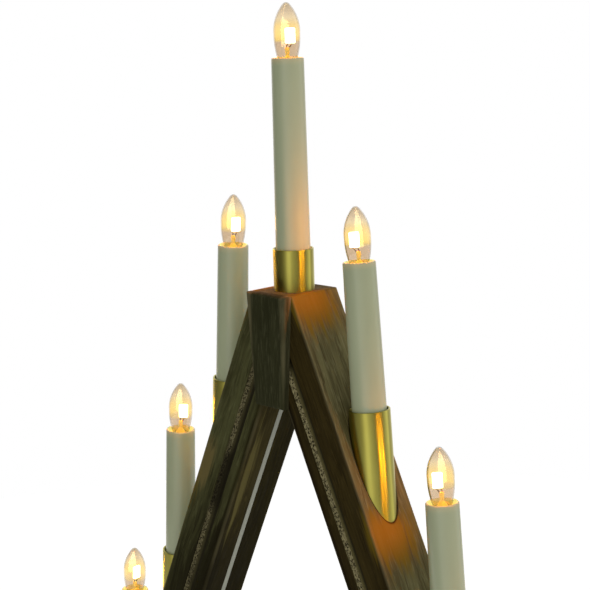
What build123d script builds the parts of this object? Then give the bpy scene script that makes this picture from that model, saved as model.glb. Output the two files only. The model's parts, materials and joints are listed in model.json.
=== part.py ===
"""Seven-light electric candle arch: two grooved wooden arms leaning together in an A,
a keystone plate over their joint, brass sleeves, tapered candle tubes and screw-in bulbs.
The candles on the arms lean in a little, towards the middle.

Lengths are in millimetres and angles in degrees.  +Z is up, the front faces -Y and the
origin is the middle of the footprint on the floor.
"""
from build123d import *
import math
import os

# Wooden frame
ARM_SLOPE = 24.8            # each arm's lean from the vertical
ARM_WIDTH = 33.5            # face of an arm seen from the front, square to its length
ARM_DEPTH = 37.0            # front to back
ARM_RISE = 440.0            # from the base to the flat top of the arch
ARM_EASE = 1.2              # rounding of an arm's long edges
APEX_WIDTH = 33.0           # flat top of the arch, left to right
BLOCK_FOOT_WIDTH = 23.0     # keystone plate narrows to this
BLOCK_HEIGHT = 66.0
BLOCK_THICKNESS = 5.0
BLOCK_EASE = 2.0
BASE_OVERHANG = 15.0        # base beyond the arms' feet, left and right
BASE_DEPTH = 110.0
BASE_THICKNESS = 20.0
BASE_CORNER = 6.0
BASE_EASE = 2.0

# Milled flute on the front of an arm, as shares of its width from the inner edge
FLUTE_SHARES = (0.26, 0.50)

# Groove for the wiring on the underside of an arm
WIRE_GROOVE_WIDTH = 4.2
WIRE_GROOVE_DEPTH = 2.5
WIRE_WIDTH = 3.8            # flat twin wire
WIRE_THICKNESS = 2.2
WIRE_EDGE = 0.6             # rounding of its edges
WIRE_LIFT = 0.1             # air under the wire in its groove
WIRE_BEND = 14.0            # bend radius below the top candle
WIRE_END_GAP = 6.0          # wire stops this far above the base
WIRE_PAIR_OFFSET = 1.8      # two wires share the top candle, each this far off its axis
SIDE_BORE = 4.0             # drilling from a side sleeve to the groove, for one lead
TOP_BORE = 8.0              # drilling from the top sleeve to both grooves

# Candle layout
SIDE_CANDLES = 3            # on each arm
FIRST_CANDLE_OUT = 57.5     # first side sleeve's rim from the middle
SIDE_RIM_DROP = 61.5        # first side sleeve's rim below the flat top
LOWEST_RIM_RISE = 128.0     # lowest side sleeve's rim above the base
CANDLE_LEAN = 3.8           # side candles lean towards the middle
TOP_RIM_RISE = 24.0         # top sleeve's rim above the flat top

# Brass sleeves
SLEEVE_DIAMETER = 23.6
SLEEVE_WALL = 1.0
SIDE_SLEEVE_LENGTH = 68.0
TOP_SLEEVE_LENGTH = 43.0
SLEEVE_HOLE_GAP = 0.25      # radial, the fine dark line around each sleeve

# Candle tubes
TUBE_TOP_DIAMETER = 18.5
TUBE_FOOT_DIAMETER = 20.7
TUBE_LENGTH = 150.0
TUBE_BORE = 16.0
TUBE_EDGE = 1.0             # rounding of the upper outer edge
DISH_DEPTH = 4.0            # conical recess around the bulb
DISH_RIM_DIAMETER = 15.8
DECK_DEPTH = 9.0            # underside of the solid deck that holds the socket

# Screw socket, E10 size
SOCKET_SHELL_DIAMETER = 10.4
SOCKET_DECK_GAP = 0.15      # radial, shell in the deck
SOCKET_BORE = 9.56
SOCKET_FLANGE_DIAMETER = 14.8
SOCKET_FLANGE_THICKNESS = 2.0
SOCKET_BODY_DIAMETER = 13.0
SOCKET_FLOOR_DEPTH = 16.5   # floor inside, below the tube's top
SOCKET_FOOT_DEPTH = 20.0

# Sprung centre contact
CONTACT_DIAMETER = 4.8
CONTACT_THICKNESS = 1.2
CONTACT_STEM_DIAMETER = 2.2
CONTACT_STEM_LENGTH = 3.0
CONTACT_STEM_GAP = 0.08     # radial running fit

# Bulb
THREAD_GAP = 0.08           # radial running fit of the cap in its socket
CAP_TIP_DIAMETER = 4.0
CAP_TIP_HEIGHT = 1.0
CAP_CONE_HEIGHT = 1.5
CAP_CONE_DIAMETER = 8.4
CAP_TOP_DEPTH = 2.5         # cap's upper edge below the tube's top
GLASS_HEIGHT = 30.4         # tip of the bulb above the tube's top
GLASS_DIAMETER = 15.0
GLASS_WALL = 0.6
GLASS_NECK_SHARE = 1.08     # neck against the cap
GLASS_WAIST_SHARES = (0.902, 0.13)   # diameter and height at the lower curve's middle
GLASS_BELLY_SHARE = 0.378   # height of the widest ring
GLASS_SHOULDER_SHARES = (0.82, 0.674)
GLASS_POINT_RADIUS = 1.9    # round end of the tip
GLASS_POINT_START = 30.0    # where the round end begins, up from its equator

# Lamp mount inside the glass
STEM_FOOT_DIAMETER = 6.4
STEM_TOP_DIAMETER = 4.4
STEM_HEIGHT = 8.0
POST_DIAMETER = 0.9         # support wires above the stem
POST_SPREAD = 3.0           # between the two wires
POST_SINK = 1.0             # how far they reach into the stem and the plate
PLATE_GAP = 1.6             # lit plate above the stem
PLATE_WIDTH = 6.0
PLATE_HEIGHT = 10.0
PLATE_THICKNESS = 1.2
PLATE_CORNER = 0.8
PLATE_TURN = 45.0           # the screwed-in bulbs show their plates half to the right

# Fastenings
DOWEL_DIAMETER = 6.0
DOWEL_LENGTH = 22.0
DOWEL_GAP = 0.05            # radial
DOWEL_END_GAP = 0.5
DOWEL_SPREAD = 22.0         # between the two dowels, front to back
DOWEL_DROP = 28.0           # below the flat top
SCREW_DIAMETER = 4.0
SCREW_LENGTH = 42.0
SCREW_HEAD_DIAMETER = 8.0
SCREW_HEAD_HEIGHT = 3.0
SCREW_GAP = 0.3             # radial, around shank and head
SCREW_SINK = 6.0            # depth of the counterbore
SCREW_SPREAD = 20.0         # between the two screws of a foot, front to back
SCREW_INSET = 5.0           # toward the middle from the centre of the foot
FELT_DIAMETER = 22.0
FELT_THICKNESS = 2.0
FELT_INSET = 20.0           # pad centre from the base's edges

OVERRUN = 5.0               # how far a cut runs past the wood

# Worked out from the values above
HALF = 0.5
RIGHT_ANGLE = 90.0
SLOPE_TAN = math.tan(math.radians(ARM_SLOPE))
SLOPE_SIN = math.sin(math.radians(ARM_SLOPE))
SLOPE_COS = math.cos(math.radians(ARM_SLOPE))
LEAN_SIN = math.sin(math.radians(CANDLE_LEAN))
LEAN_COS = math.cos(math.radians(CANDLE_LEAN))
BASE_TOP = FELT_THICKNESS + BASE_THICKNESS
APEX_Z = BASE_TOP + ARM_RISE
APEX_HALF = APEX_WIDTH * HALF
FACE_WIDTH = ARM_WIDTH / SLOPE_COS
FOOT_OUT = APEX_HALF + ARM_RISE * SLOPE_TAN
FOOT_IN = FOOT_OUT - FACE_WIDTH
BASE_LENGTH = (FOOT_OUT + BASE_OVERHANG) / HALF
CROTCH_DROP = (FACE_WIDTH - APEX_HALF) / SLOPE_TAN
CROTCH_Z = APEX_Z - CROTCH_DROP
STEP_DOWN = (ARM_RISE - SIDE_RIM_DROP - LOWEST_RIM_RISE) / (SIDE_CANDLES - 1)
STEP_OUT = STEP_DOWN * SLOPE_TAN
SLEEVE_BORE = SLEEVE_DIAMETER - SLEEVE_WALL / HALF
TUBE_STAND = TUBE_LENGTH + SLEEVE_WALL      # tube's top above a sleeve's underside
CAP_DIAMETER = SOCKET_BORE - THREAD_GAP / HALF
CAP_FOOT_DEPTH = SOCKET_FLOOR_DEPTH - CONTACT_THICKNESS
SCREW_OUT = (FOOT_OUT + FOOT_IN) * HALF - SCREW_INSET


class Candle:
    """Where one candle stands: its name, the middle of its sleeve's rim and its lean."""

    def __init__(self, name, out, rim_z, sleeve_length, lean, bore):
        self.name = name
        self.out = out
        self.rim_z = rim_z
        self.sleeve_length = sleeve_length
        self.lean = lean
        self.bore = bore

    def at(self, rise):
        """A place on the candle's axis, above the underside of its sleeve."""
        rim = Pos(self.out, 0, self.rim_z) * Rot(0, self.lean, 0)
        return rim * Pos(0, 0, rise - self.sleeve_length)


def candle_row():
    """The top candle, then each arm's candles from the top down."""
    row = [Candle("top", 0, APEX_Z + TOP_RIM_RISE, TOP_SLEEVE_LENGTH, 0, TOP_BORE)]
    for side, sign in (("left", -1), ("right", 1)):
        for step in range(SIDE_CANDLES):
            out = sign * (FIRST_CANDLE_OUT + step * STEP_OUT)
            rim_z = APEX_Z - SIDE_RIM_DROP - step * STEP_DOWN
            name = f"{side}_{step + 1}"
            lean = -sign * CANDLE_LEAN
            row.append(Candle(name, out, rim_z, SIDE_SLEEVE_LENGTH, lean, SIDE_BORE))
    return row


def rod(diameter, low, high):
    """An upright cylinder between two heights."""
    return Pos(0, 0, low) * Cylinder(diameter * HALF, high - low,
                                     align=(Align.CENTER, Align.CENTER, Align.MIN))


def turned(points):
    """A solid turned about the Z axis from (radius, height) corners."""
    outline = [(radius, 0, height) for radius, height in points]
    return revolve(make_face(Polyline(*outline, close=True)), Axis.Z)


def arm_point(inset, z):
    """A point of the right arm, in the middle of its depth, inset from the inner face."""
    across = inset / SLOPE_COS
    return (FOOT_IN - (z - BASE_TOP) * SLOPE_TAN + across, 0, z)


def along_arm(inset):
    """Plane at the foot of the right arm, its normal running up the arm."""
    return Plane(origin=arm_point(inset, BASE_TOP), x_dir=(SLOPE_COS, 0, SLOPE_SIN),
                 z_dir=(-SLOPE_SIN, 0, SLOPE_COS))


def arm_length():
    return ARM_RISE / SLOPE_COS


def arm_blank():
    """Right arm before drilling: mitred on the middle plane, flat on top and foot."""
    outline = [(0, 0, APEX_Z), (APEX_HALF, 0, APEX_Z), (FOOT_OUT, 0, BASE_TOP),
               (FOOT_IN, 0, BASE_TOP), (0, 0, CROTCH_Z)]
    face = make_face(Polyline(*outline, close=True))
    blank = extrude(face, ARM_DEPTH * HALF, dir=(0, 1, 0), both=True)
    run = Vector(-SLOPE_SIN, 0, SLOPE_COS)
    long_edges = [e for e in blank.edges() if abs((e % HALF).dot(run)) > SLOPE_COS
                  and e.length > ARM_RISE * HALF]
    return fillet(long_edges, ARM_EASE)


def flute_cut():
    """Round-bottomed flute down the front face of the right arm."""
    inner, outer = (share * ARM_WIDTH for share in FLUTE_SHARES)
    plane = along_arm((inner + outer) * HALF)
    tool = Cylinder((outer - inner) * HALF, (arm_length() + OVERRUN) / HALF)
    return Pos(0, -ARM_DEPTH * HALF, 0) * (plane * tool)


def wire_groove_cut():
    """Square groove down the middle of the right arm's underside."""
    plane = along_arm((WIRE_GROOVE_DEPTH - OVERRUN) * HALF)
    return plane * Box(WIRE_GROOVE_DEPTH + OVERRUN, WIRE_GROOVE_WIDTH,
                       (arm_length() + OVERRUN) / HALF)


def candle_cut(candle):
    """Stepped drilling for one sleeve and its wire."""
    sleeve = rod(SLEEVE_DIAMETER + SLEEVE_HOLE_GAP / HALF, 0, TUBE_LENGTH)
    wire = rod(candle.bore, -ARM_WIDTH / SLOPE_SIN, 0)
    return candle.at(0) * (sleeve + wire)


def dowel_set(gap, end_gap):
    """Two dowels across the mitre."""
    tool = Rot(0, RIGHT_ANGLE, 0) * Cylinder(DOWEL_DIAMETER * HALF + gap, DOWEL_LENGTH + end_gap / HALF)
    places = [Pos(0, sign * DOWEL_SPREAD * HALF, APEX_Z - DOWEL_DROP) for sign in (-1, 1)]
    return [place * tool for place in places]


def screw_places():
    return [Pos(side * SCREW_OUT, row * SCREW_SPREAD * HALF, 0)
            for side in (-1, 1) for row in (-1, 1)]


def screw_body(gap):
    """One foot screw with its head in the counterbore, grown by a radial gap."""
    seat = FELT_THICKNESS + SCREW_SINK
    head_low = FELT_THICKNESS - OVERRUN if gap else seat - SCREW_HEAD_HEIGHT
    head = rod(SCREW_HEAD_DIAMETER + gap / HALF, head_low, seat)
    shank = rod(SCREW_DIAMETER + gap / HALF, seat, seat + SCREW_LENGTH + gap)
    return head + shank


def right_arm(candles):
    """Right arm with flute, wiring groove and drillings."""
    arm = arm_blank() - flute_cut() - wire_groove_cut()
    for candle in candles:
        if candle.out >= 0:
            arm = arm - candle_cut(candle)
    for hole in dowel_set(DOWEL_GAP, DOWEL_END_GAP):
        arm = arm - hole
    for place in screw_places():
        arm = arm - place * screw_body(SCREW_GAP)
    return arm


def apex_block():
    """Keystone plate over the joint of the arms."""
    front = -ARM_DEPTH * HALF
    foot = BLOCK_FOOT_WIDTH * HALF
    outline = [(-APEX_HALF, front, APEX_Z), (APEX_HALF, front, APEX_Z),
               (foot, front, APEX_Z - BLOCK_HEIGHT), (-foot, front, APEX_Z - BLOCK_HEIGHT)]
    plate = extrude(make_face(Polyline(*outline, close=True)), BLOCK_THICKNESS, dir=(0, -1, 0))
    return fillet(plate.faces().sort_by(Axis.Y)[0].edges(), BLOCK_EASE)


def base():
    """Plank under both feet, eased on top and counterbored from below."""
    plank = Pos(0, 0, FELT_THICKNESS) * Box(BASE_LENGTH, BASE_DEPTH, BASE_THICKNESS,
                                            align=(Align.CENTER, Align.CENTER, Align.MIN))
    plank = fillet(plank.edges().filter_by(Axis.Z), BASE_CORNER)
    plank = fillet(plank.faces().sort_by(Axis.Z)[-1].edges(), BASE_EASE)
    for place in screw_places():
        plank = plank - place * screw_body(SCREW_GAP)
    return plank


def felt_pads():
    pad = rod(FELT_DIAMETER, 0, FELT_THICKNESS)
    out = BASE_LENGTH * HALF - FELT_INSET
    deep = BASE_DEPTH * HALF - FELT_INSET
    return Compound(children=[Pos(x, y, 0) * pad for x in (-out, out) for y in (-deep, deep)])


def sleeve(candle):
    """Thin brass tube with a floor that the candle stands on."""
    shell = rod(SLEEVE_DIAMETER, 0, candle.sleeve_length)
    shell = shell - rod(SLEEVE_BORE, SLEEVE_WALL, candle.sleeve_length + OVERRUN)
    shell = shell - rod(candle.bore, -OVERRUN, OVERRUN)
    return candle.at(0) * shell


def tube():
    """Tapered candle tube, its top at zero: dish, deck for the socket, open bore."""
    top = TUBE_TOP_DIAMETER * HALF
    foot = TUBE_FOOT_DIAMETER * HALF
    bore = TUBE_BORE * HALF
    deck = SOCKET_SHELL_DIAMETER * HALF + SOCKET_DECK_GAP
    body = turned([(0, 0), (top, 0), (foot, -TUBE_LENGTH), (0, -TUBE_LENGTH)])
    body = fillet(body.edges().sort_by(Axis.Z)[-1], TUBE_EDGE)
    hollow = turned([(0, 0), (DISH_RIM_DIAMETER * HALF, 0), (deck, -DISH_DEPTH),
                     (deck, -DECK_DEPTH), (bore, -DECK_DEPTH), (bore, -TUBE_LENGTH),
                     (0, -TUBE_LENGTH)])
    return body - hollow


def socket():
    """Screw socket under the deck, with a bore for the bulb and one for the contact."""
    flange = SOCKET_FLANGE_DIAMETER * HALF
    body = SOCKET_BODY_DIAMETER * HALF
    shell = SOCKET_SHELL_DIAMETER * HALF
    bore = SOCKET_BORE * HALF
    stem = CONTACT_STEM_DIAMETER * HALF + CONTACT_STEM_GAP
    flange_low = -DECK_DEPTH - SOCKET_FLANGE_THICKNESS
    return turned([(bore, -DISH_DEPTH), (shell, -DISH_DEPTH), (shell, -DECK_DEPTH),
                   (flange, -DECK_DEPTH), (flange, flange_low), (body, flange_low),
                   (body, -SOCKET_FOOT_DEPTH), (stem, -SOCKET_FOOT_DEPTH),
                   (stem, -SOCKET_FLOOR_DEPTH), (bore, -SOCKET_FLOOR_DEPTH)])


def contact():
    """Centre contact: a disc on the socket's floor with a stem guided below it."""
    disc = CONTACT_DIAMETER * HALF
    stem = CONTACT_STEM_DIAMETER * HALF
    floor = -SOCKET_FLOOR_DEPTH
    return turned([(0, floor - CONTACT_STEM_LENGTH), (stem, floor - CONTACT_STEM_LENGTH),
                   (stem, floor), (disc, floor), (disc, floor + CONTACT_THICKNESS),
                   (0, floor + CONTACT_THICKNESS)])


def bulb_cap():
    """Screw cap of a bulb at the size of its thread, with the contact tip below."""
    foot = -CAP_FOOT_DEPTH
    cone = foot + CAP_TIP_HEIGHT
    shell = cone + CAP_CONE_HEIGHT
    return turned([(0, foot), (CAP_TIP_DIAMETER * HALF, foot), (CAP_TIP_DIAMETER * HALF, cone),
                   (CAP_CONE_DIAMETER * HALF, shell), (CAP_DIAMETER * HALF, shell),
                   (CAP_DIAMETER * HALF, -CAP_TOP_DEPTH), (0, -CAP_TOP_DEPTH)])


def point_on_tip(radius, top, angle):
    """A point on the round end of the bulb, at an angle up from its equator."""
    turn = math.radians(angle)
    return (radius * math.cos(turn), 0, top - radius + radius * math.sin(turn))


def glass_profile(wall):
    """Pointed outline of the bulb, drawn in by a wall thickness."""
    belly = GLASS_DIAMETER * HALF
    tall = GLASS_HEIGHT - wall
    neck = (CAP_DIAMETER * HALF * GLASS_NECK_SHARE - wall, 0, -CAP_TOP_DEPTH)
    waist = (belly * GLASS_WAIST_SHARES[0] - wall, 0, GLASS_HEIGHT * GLASS_WAIST_SHARES[1])
    wide = (belly - wall, 0, GLASS_HEIGHT * GLASS_BELLY_SHARE)
    shoulder = (belly * GLASS_SHOULDER_SHARES[0] - wall, 0, GLASS_HEIGHT * GLASS_SHOULDER_SHARES[1])
    radius = GLASS_POINT_RADIUS - wall
    tip = point_on_tip(radius, tall, GLASS_POINT_START)
    point = point_on_tip(radius, tall, (GLASS_POINT_START + RIGHT_ANGLE) * HALF)
    end = (0, 0, tall)
    foot = (0, 0, -CAP_TOP_DEPTH)
    edges = [ThreePointArc(neck, waist, wide), ThreePointArc(wide, shoulder, tip),
             ThreePointArc(tip, point, end), Line(end, foot), Line(foot, neck)]
    return revolve(make_face(edges), Axis.Z)


def bulb_glass():
    return glass_profile(0) - glass_profile(GLASS_WALL)


def bulb_filament():
    """Glass stem on the cap, with two wires that carry the upright lit plate."""
    foot = -CAP_TOP_DEPTH
    head = foot + STEM_HEIGHT
    mount = turned([(0, foot), (STEM_FOOT_DIAMETER * HALF, foot),
                    (STEM_TOP_DIAMETER * HALF, head), (0, head)])
    for sign in (-1, 1):
        post = rod(POST_DIAMETER, head - POST_SINK, head + PLATE_GAP + POST_SINK)
        mount = mount + Pos(sign * POST_SPREAD * HALF, 0, 0) * post
    face = Plane.XZ * RectangleRounded(PLATE_WIDTH, PLATE_HEIGHT, PLATE_CORNER)
    plate = extrude(face, PLATE_THICKNESS * HALF, both=True)
    mount = mount + Pos(0, 0, head + PLATE_GAP + PLATE_HEIGHT * HALF) * plate
    return Rot(0, 0, PLATE_TURN) * mount


def riser(candle, depth):
    """Lead from the wire in the groove up into the socket of one candle."""
    groove_out = arm_point(depth, candle.rim_z)[0]
    start = (groove_out - abs(candle.out)) / (LEAN_COS * SLOPE_TAN - LEAN_SIN)
    low = start + candle.sleeve_length
    return candle.at(0) * rod(WIRE_THICKNESS, low, TUBE_STAND - SOCKET_FOOT_DEPTH)


def wire(candles, sign):
    """Wiring of one arm: down from the top candle, along the groove, with a riser per candle."""
    depth = WIRE_GROOVE_DEPTH - WIRE_LIFT - WIRE_THICKNESS * HALF
    start_x = sign * WIRE_PAIR_OFFSET
    start_z = candles[0].rim_z - candles[0].sleeve_length + TUBE_STAND - SOCKET_FOOT_DEPTH
    bend_z = BASE_TOP + (arm_point(depth, BASE_TOP)[0] - WIRE_PAIR_OFFSET) / SLOPE_TAN
    end = arm_point(depth, BASE_TOP + WIRE_END_GAP)
    start = (start_x, 0, start_z)
    path = FilletPolyline(start, (start_x, 0, bend_z), (sign * end[0], 0, end[2]),
                          radius=WIRE_BEND)
    section = RectangleRounded(WIRE_THICKNESS, WIRE_WIDTH, WIRE_EDGE)
    run = sweep(Plane(origin=start, x_dir=(1, 0, 0), z_dir=(0, 0, -1)) * section, path=path)
    for candle in candles:
        if candle.out * sign > 0:
            run = run + riser(candle, depth)
    return run


def save(shape, node):
    export_step(shape, f"parts/{node}.step")


def build():
    os.makedirs("parts", exist_ok=True)
    candles = candle_row()
    arm = right_arm(candles)
    save(arm, "right_arm")
    save(mirror(arm, about=Plane.YZ), "left_arm")
    save(apex_block(), "apex_block")
    save(Compound(children=dowel_set(0, 0)), "apex_dowels")
    save(base(), "base")
    save(Compound(children=[place * screw_body(0) for place in screw_places()]), "base_screws")
    save(felt_pads(), "felt_pads")
    save(wire(candles, -1), "wire_left")
    save(wire(candles, 1), "wire_right")
    turned_parts = {"tube": tube(), "socket": socket(), "contact": contact(),
                    "bulb_cap": bulb_cap(), "bulb_glass": bulb_glass(),
                    "bulb_filament": bulb_filament()}
    for candle in candles:
        save(sleeve(candle), f"sleeve_{candle.name}")
        for kind, shape in turned_parts.items():
            save(candle.at(TUBE_STAND) * shape, f"{kind}_{candle.name}")


if __name__ == "__main__":
    build()
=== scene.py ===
"""Seven-light electric candle arch, dressed and lit for a studio picture.

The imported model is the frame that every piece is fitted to, so the places of the candles, arms
and plates are read from it.  The values written here are finishes, light, the camera and the
small sizes that the frame's boxes don't show.  Lengths are in metres and angles in degrees.
"""
import json
import logging
import math
from dataclasses import dataclass, replace
from enum import Enum
from typing import Optional, Sequence, Union

import bmesh
import bpy
from mathutils import Matrix, Vector


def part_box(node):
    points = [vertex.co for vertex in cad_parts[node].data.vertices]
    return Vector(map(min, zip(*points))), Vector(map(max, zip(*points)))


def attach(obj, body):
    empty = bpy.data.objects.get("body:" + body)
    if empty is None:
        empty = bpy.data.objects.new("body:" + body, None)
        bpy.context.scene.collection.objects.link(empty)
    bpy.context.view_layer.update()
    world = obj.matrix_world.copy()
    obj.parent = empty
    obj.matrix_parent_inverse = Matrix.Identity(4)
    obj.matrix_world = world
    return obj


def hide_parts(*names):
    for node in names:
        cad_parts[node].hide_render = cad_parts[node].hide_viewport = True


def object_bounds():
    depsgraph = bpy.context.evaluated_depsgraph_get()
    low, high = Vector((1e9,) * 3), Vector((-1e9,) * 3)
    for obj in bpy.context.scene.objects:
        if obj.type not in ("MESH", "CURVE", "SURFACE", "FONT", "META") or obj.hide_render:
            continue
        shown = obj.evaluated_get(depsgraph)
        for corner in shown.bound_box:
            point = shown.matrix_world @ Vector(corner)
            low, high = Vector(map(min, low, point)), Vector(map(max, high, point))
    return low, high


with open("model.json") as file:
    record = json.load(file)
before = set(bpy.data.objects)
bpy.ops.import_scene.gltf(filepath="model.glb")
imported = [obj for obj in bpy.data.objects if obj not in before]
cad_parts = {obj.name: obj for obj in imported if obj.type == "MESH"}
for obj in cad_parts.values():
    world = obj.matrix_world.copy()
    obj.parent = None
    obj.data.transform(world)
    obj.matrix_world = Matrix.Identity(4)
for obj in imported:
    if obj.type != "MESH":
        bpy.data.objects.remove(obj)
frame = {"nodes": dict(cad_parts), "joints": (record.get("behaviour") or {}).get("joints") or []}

LOG = logging.getLogger("candle_arch")
CAD_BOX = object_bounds()
ROOT_BODY = "frame"
MM = 0.001
FULL_TURN = 2.0 * math.pi
RISE = "rise"
ACROSS = "across"
UV_NAME = "UVMap"
UPRIGHT_CANDLE = "top"
NOISE_RANGE = (0.3, 0.7)
WHITE = (1.0, 1.0, 1.0)

PLATE_TURNS = {"top": 52.0, "left_1": 78.0, "left_2": 45.0, "left_3": 96.0,
               "right_1": 225.0, "right_2": 222.0, "right_3": 190.0}

Colour = tuple[float, float, float]
Point = tuple[float, float, float]
RingPoint = tuple[float, float]
Socket = bpy.types.NodeSocket
Value = Union[float, Socket]


class Side(Enum):
    """The two arms of the arch, each with its direction along X."""

    LEFT = -1
    RIGHT = 1


class Grain(Enum):
    """Which way the wood fibres of a board run."""

    UPRIGHT = "upright"
    ALONG_ARM = "along the arm"
    LENGTHWISE = "lengthwise"


class NodeDesk:
    """Fills one node tree with short calls."""

    def __init__(self, tree: bpy.types.NodeTree) -> None:
        """Keeps the tree that the calls work on.

        Args:
            tree: The tree to fill.
        """
        self.tree = tree

    def add(self, kind: str, **settings: object) -> bpy.types.Node:
        """Adds one node.

        Args:
            kind: Blender's name for the node type.
            **settings: Properties of the node to set.

        Returns:
            The new node.
        """
        node = self.tree.nodes.new(kind)
        for name, value in settings.items():
            setattr(node, name, value)
        return node

    def feed(self, target: Socket, value: object) -> None:
        """Links a socket, or sets its own value.

        Args:
            target: The input to feed.
            value: An output socket to link, or a plain value.
        """
        if isinstance(value, bpy.types.NodeSocket):
            self.tree.links.new(value, target)
        elif value is not None:
            target.default_value = value

    def math(self, operation: str, first: Value, second: Optional[Value] = None,
             clamp: bool = False) -> Socket:
        """One sum on numbers.

        Args:
            operation: Blender's name for the sum.
            first: First number.
            second: Second number, where the sum has one.
            clamp: Keeps the result from 0 to 1.

        Returns:
            The result's socket.
        """
        node = self.add("ShaderNodeMath", operation=operation, use_clamp=clamp)
        self.feed(node.inputs[0], first)
        self.feed(node.inputs[1], second)
        return node.outputs[0]

    def vector_math(self, operation: str, first: object, second: object = None) -> bpy.types.Node:
        """One sum on vectors.

        Args:
            operation: Blender's name for the sum.
            first: First vector.
            second: Second vector, where the sum has one.

        Returns:
            The node, whose outputs are a vector and a number.
        """
        node = self.add("ShaderNodeVectorMath", operation=operation)
        self.feed(node.inputs[0], first)
        self.feed(node.inputs[1], second)
        return node

    def scaled(self, vector: Socket, scale: Point) -> Socket:
        """A vector with each part multiplied by its own scale."""
        return self.vector_math("MULTIPLY", vector, scale).outputs[0]

    def parts(self, vector: Socket) -> Sequence[Socket]:
        """The three parts of a vector."""
        node = self.add("ShaderNodeSeparateXYZ")
        self.feed(node.inputs[0], vector)
        return node.outputs

    def noise(self, vector: Socket, detail: float = 3.0, roughness: float = 0.55,
              distortion: float = 0.0) -> Socket:
        """Soft noise at a scale that the vector already carries.

        Args:
            vector: Where the noise is read, in units of its own grain.
            detail: Octaves.
            roughness: How strong the fine octaves are.
            distortion: How much the noise is bent.

        Returns:
            The socket of a number around 0.5.
        """
        node = self.add("ShaderNodeTexNoise")
        self.feed(node.inputs["Vector"], vector)
        self.feed(node.inputs["Scale"], 1.0)
        self.feed(node.inputs["Detail"], detail)
        self.feed(node.inputs["Roughness"], roughness)
        self.feed(node.inputs["Distortion"], distortion)
        return node.outputs[0]

    def span(self, value: Value, low: float, high: float, to_low: float = 0.0,
             to_high: float = 1.0) -> Socket:
        """Carries a range of numbers smoothly to another one.

        Args:
            value: The number to carry over.
            low: Start of its range.
            high: End of its range.
            to_low: Result at the start.
            to_high: Result at the end.

        Returns:
            The result's socket.
        """
        node = self.add("ShaderNodeMapRange", interpolation_type="SMOOTHSTEP")
        for index, number in enumerate((value, low, high, to_low, to_high)):
            self.feed(node.inputs[index], number)
        return node.outputs[0]

    def mix(self, share: Value, first: object, second: object, blend: str = "MIX") -> Socket:
        """Mixes two colours.

        Args:
            share: How much of the second colour shows.
            first: Colour or socket.
            second: Colour or socket.
            blend: Blender's name for the way of mixing.

        Returns:
            The mixed colour's socket.
        """
        node = self.add("ShaderNodeMix", data_type="RGBA", blend_type=blend)
        self.feed(node.inputs[0], share)
        for index, colour in ((6, first), (7, second)):
            self.feed(node.inputs[index], opaque(colour))
        return node.outputs[2]

    def ramp(self, value: Socket, stops: Sequence[tuple[float, Colour]]) -> Socket:
        """Colours along a number from 0 to 1.

        Args:
            value: The number.
            stops: Place and colour of each stop, in order.

        Returns:
            The colour's socket.
        """
        node = self.add("ShaderNodeValToRGB")
        elements = node.color_ramp.elements
        while len(elements) < len(stops):
            elements.new(1.0)
        for element, (place, colour) in zip(elements, stops):
            element.position = place
            element.color = opaque(colour)
        self.feed(node.inputs[0], value)
        return node.outputs[0]


def opaque(colour: object) -> object:
    """A plain colour gets the alpha that a colour socket wants; a socket is passed on."""
    return (*colour, 1.0) if isinstance(colour, tuple) and len(colour) == 3 else colour


class Surface(NodeDesk):
    """A material that is built around one Principled shader."""

    def __init__(self, name: str) -> None:
        """Starts an empty material.

        Args:
            name: The material's name.
        """
        self.material = bpy.data.materials.new(name)
        self.material.use_nodes = True
        super().__init__(self.material.node_tree)
        self.shader = self.tree.nodes["Principled BSDF"]

    def set(self, **sockets: object) -> None:
        """Feeds the shader's sockets, named in lower case with underscores."""
        names = {socket.name.lower().replace(" ", "_"): socket for socket in self.shader.inputs}
        for name, value in sockets.items():
            self.feed(names[name], opaque(value))

    def place(self) -> Socket:
        """Object coordinates, which are the arch's own frame."""
        return self.add("ShaderNodeTexCoord").outputs["Object"]

    def rise(self) -> Socket:
        """Height over a candle's rim, which the turned pieces carry as an attribute."""
        return self.add("ShaderNodeAttribute", attribute_name=RISE).outputs["Fac"]

    def bump(self, height: Socket, depth: float, strength: float = 1.0) -> None:
        """Gives the shader a relief.

        Args:
            height: Relief from 0 to 1.
            depth: How deep the relief is.
            strength: How much of it shows.
        """
        node = self.add("ShaderNodeBump")
        self.feed(node.inputs["Height"], height)
        self.feed(node.inputs["Distance"], depth)
        self.feed(node.inputs["Strength"], strength)
        self.set(normal=node.outputs[0])


@dataclass(frozen=True)
class NoiseLayer:
    """Noise of its own scale, and the range of it that shows as a share of a tone."""

    scale: Point
    detail: float = 3.0
    roughness: float = 0.55
    distortion: float = 0.0
    shown: tuple[float, float] = NOISE_RANGE
    share: float = 1.0

    def read(self, desk: NodeDesk, where: Socket) -> Socket:
        """The plain noise at some places."""
        return desk.noise(desk.scaled(where, self.scale), self.detail, self.roughness, self.distortion)

    def cover(self, desk: NodeDesk, noise: Socket) -> Socket:
        """How much of the layer's tone the noise lets show."""
        return desk.span(noise, *self.shown, 0.0, self.share)


@dataclass(frozen=True)
class StainAndPaintedLightPatch:
    """A patch of another tone in a board, used for tones of the wood, for painted lamp glow and for painted
    shade.

    Its middle is given across and deep as shares of the board's half sizes, and along the fibres as
    a length. Its half sizes are lengths in the same order.
    """

    middle: Point
    half: Point
    tone: Colour
    share: float


# Painted shade: the first two left-arm patches darken the lower inner and front faces. The third is a paler
# streak along the inner front corner and the fourth a brown patch on the front.
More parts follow.
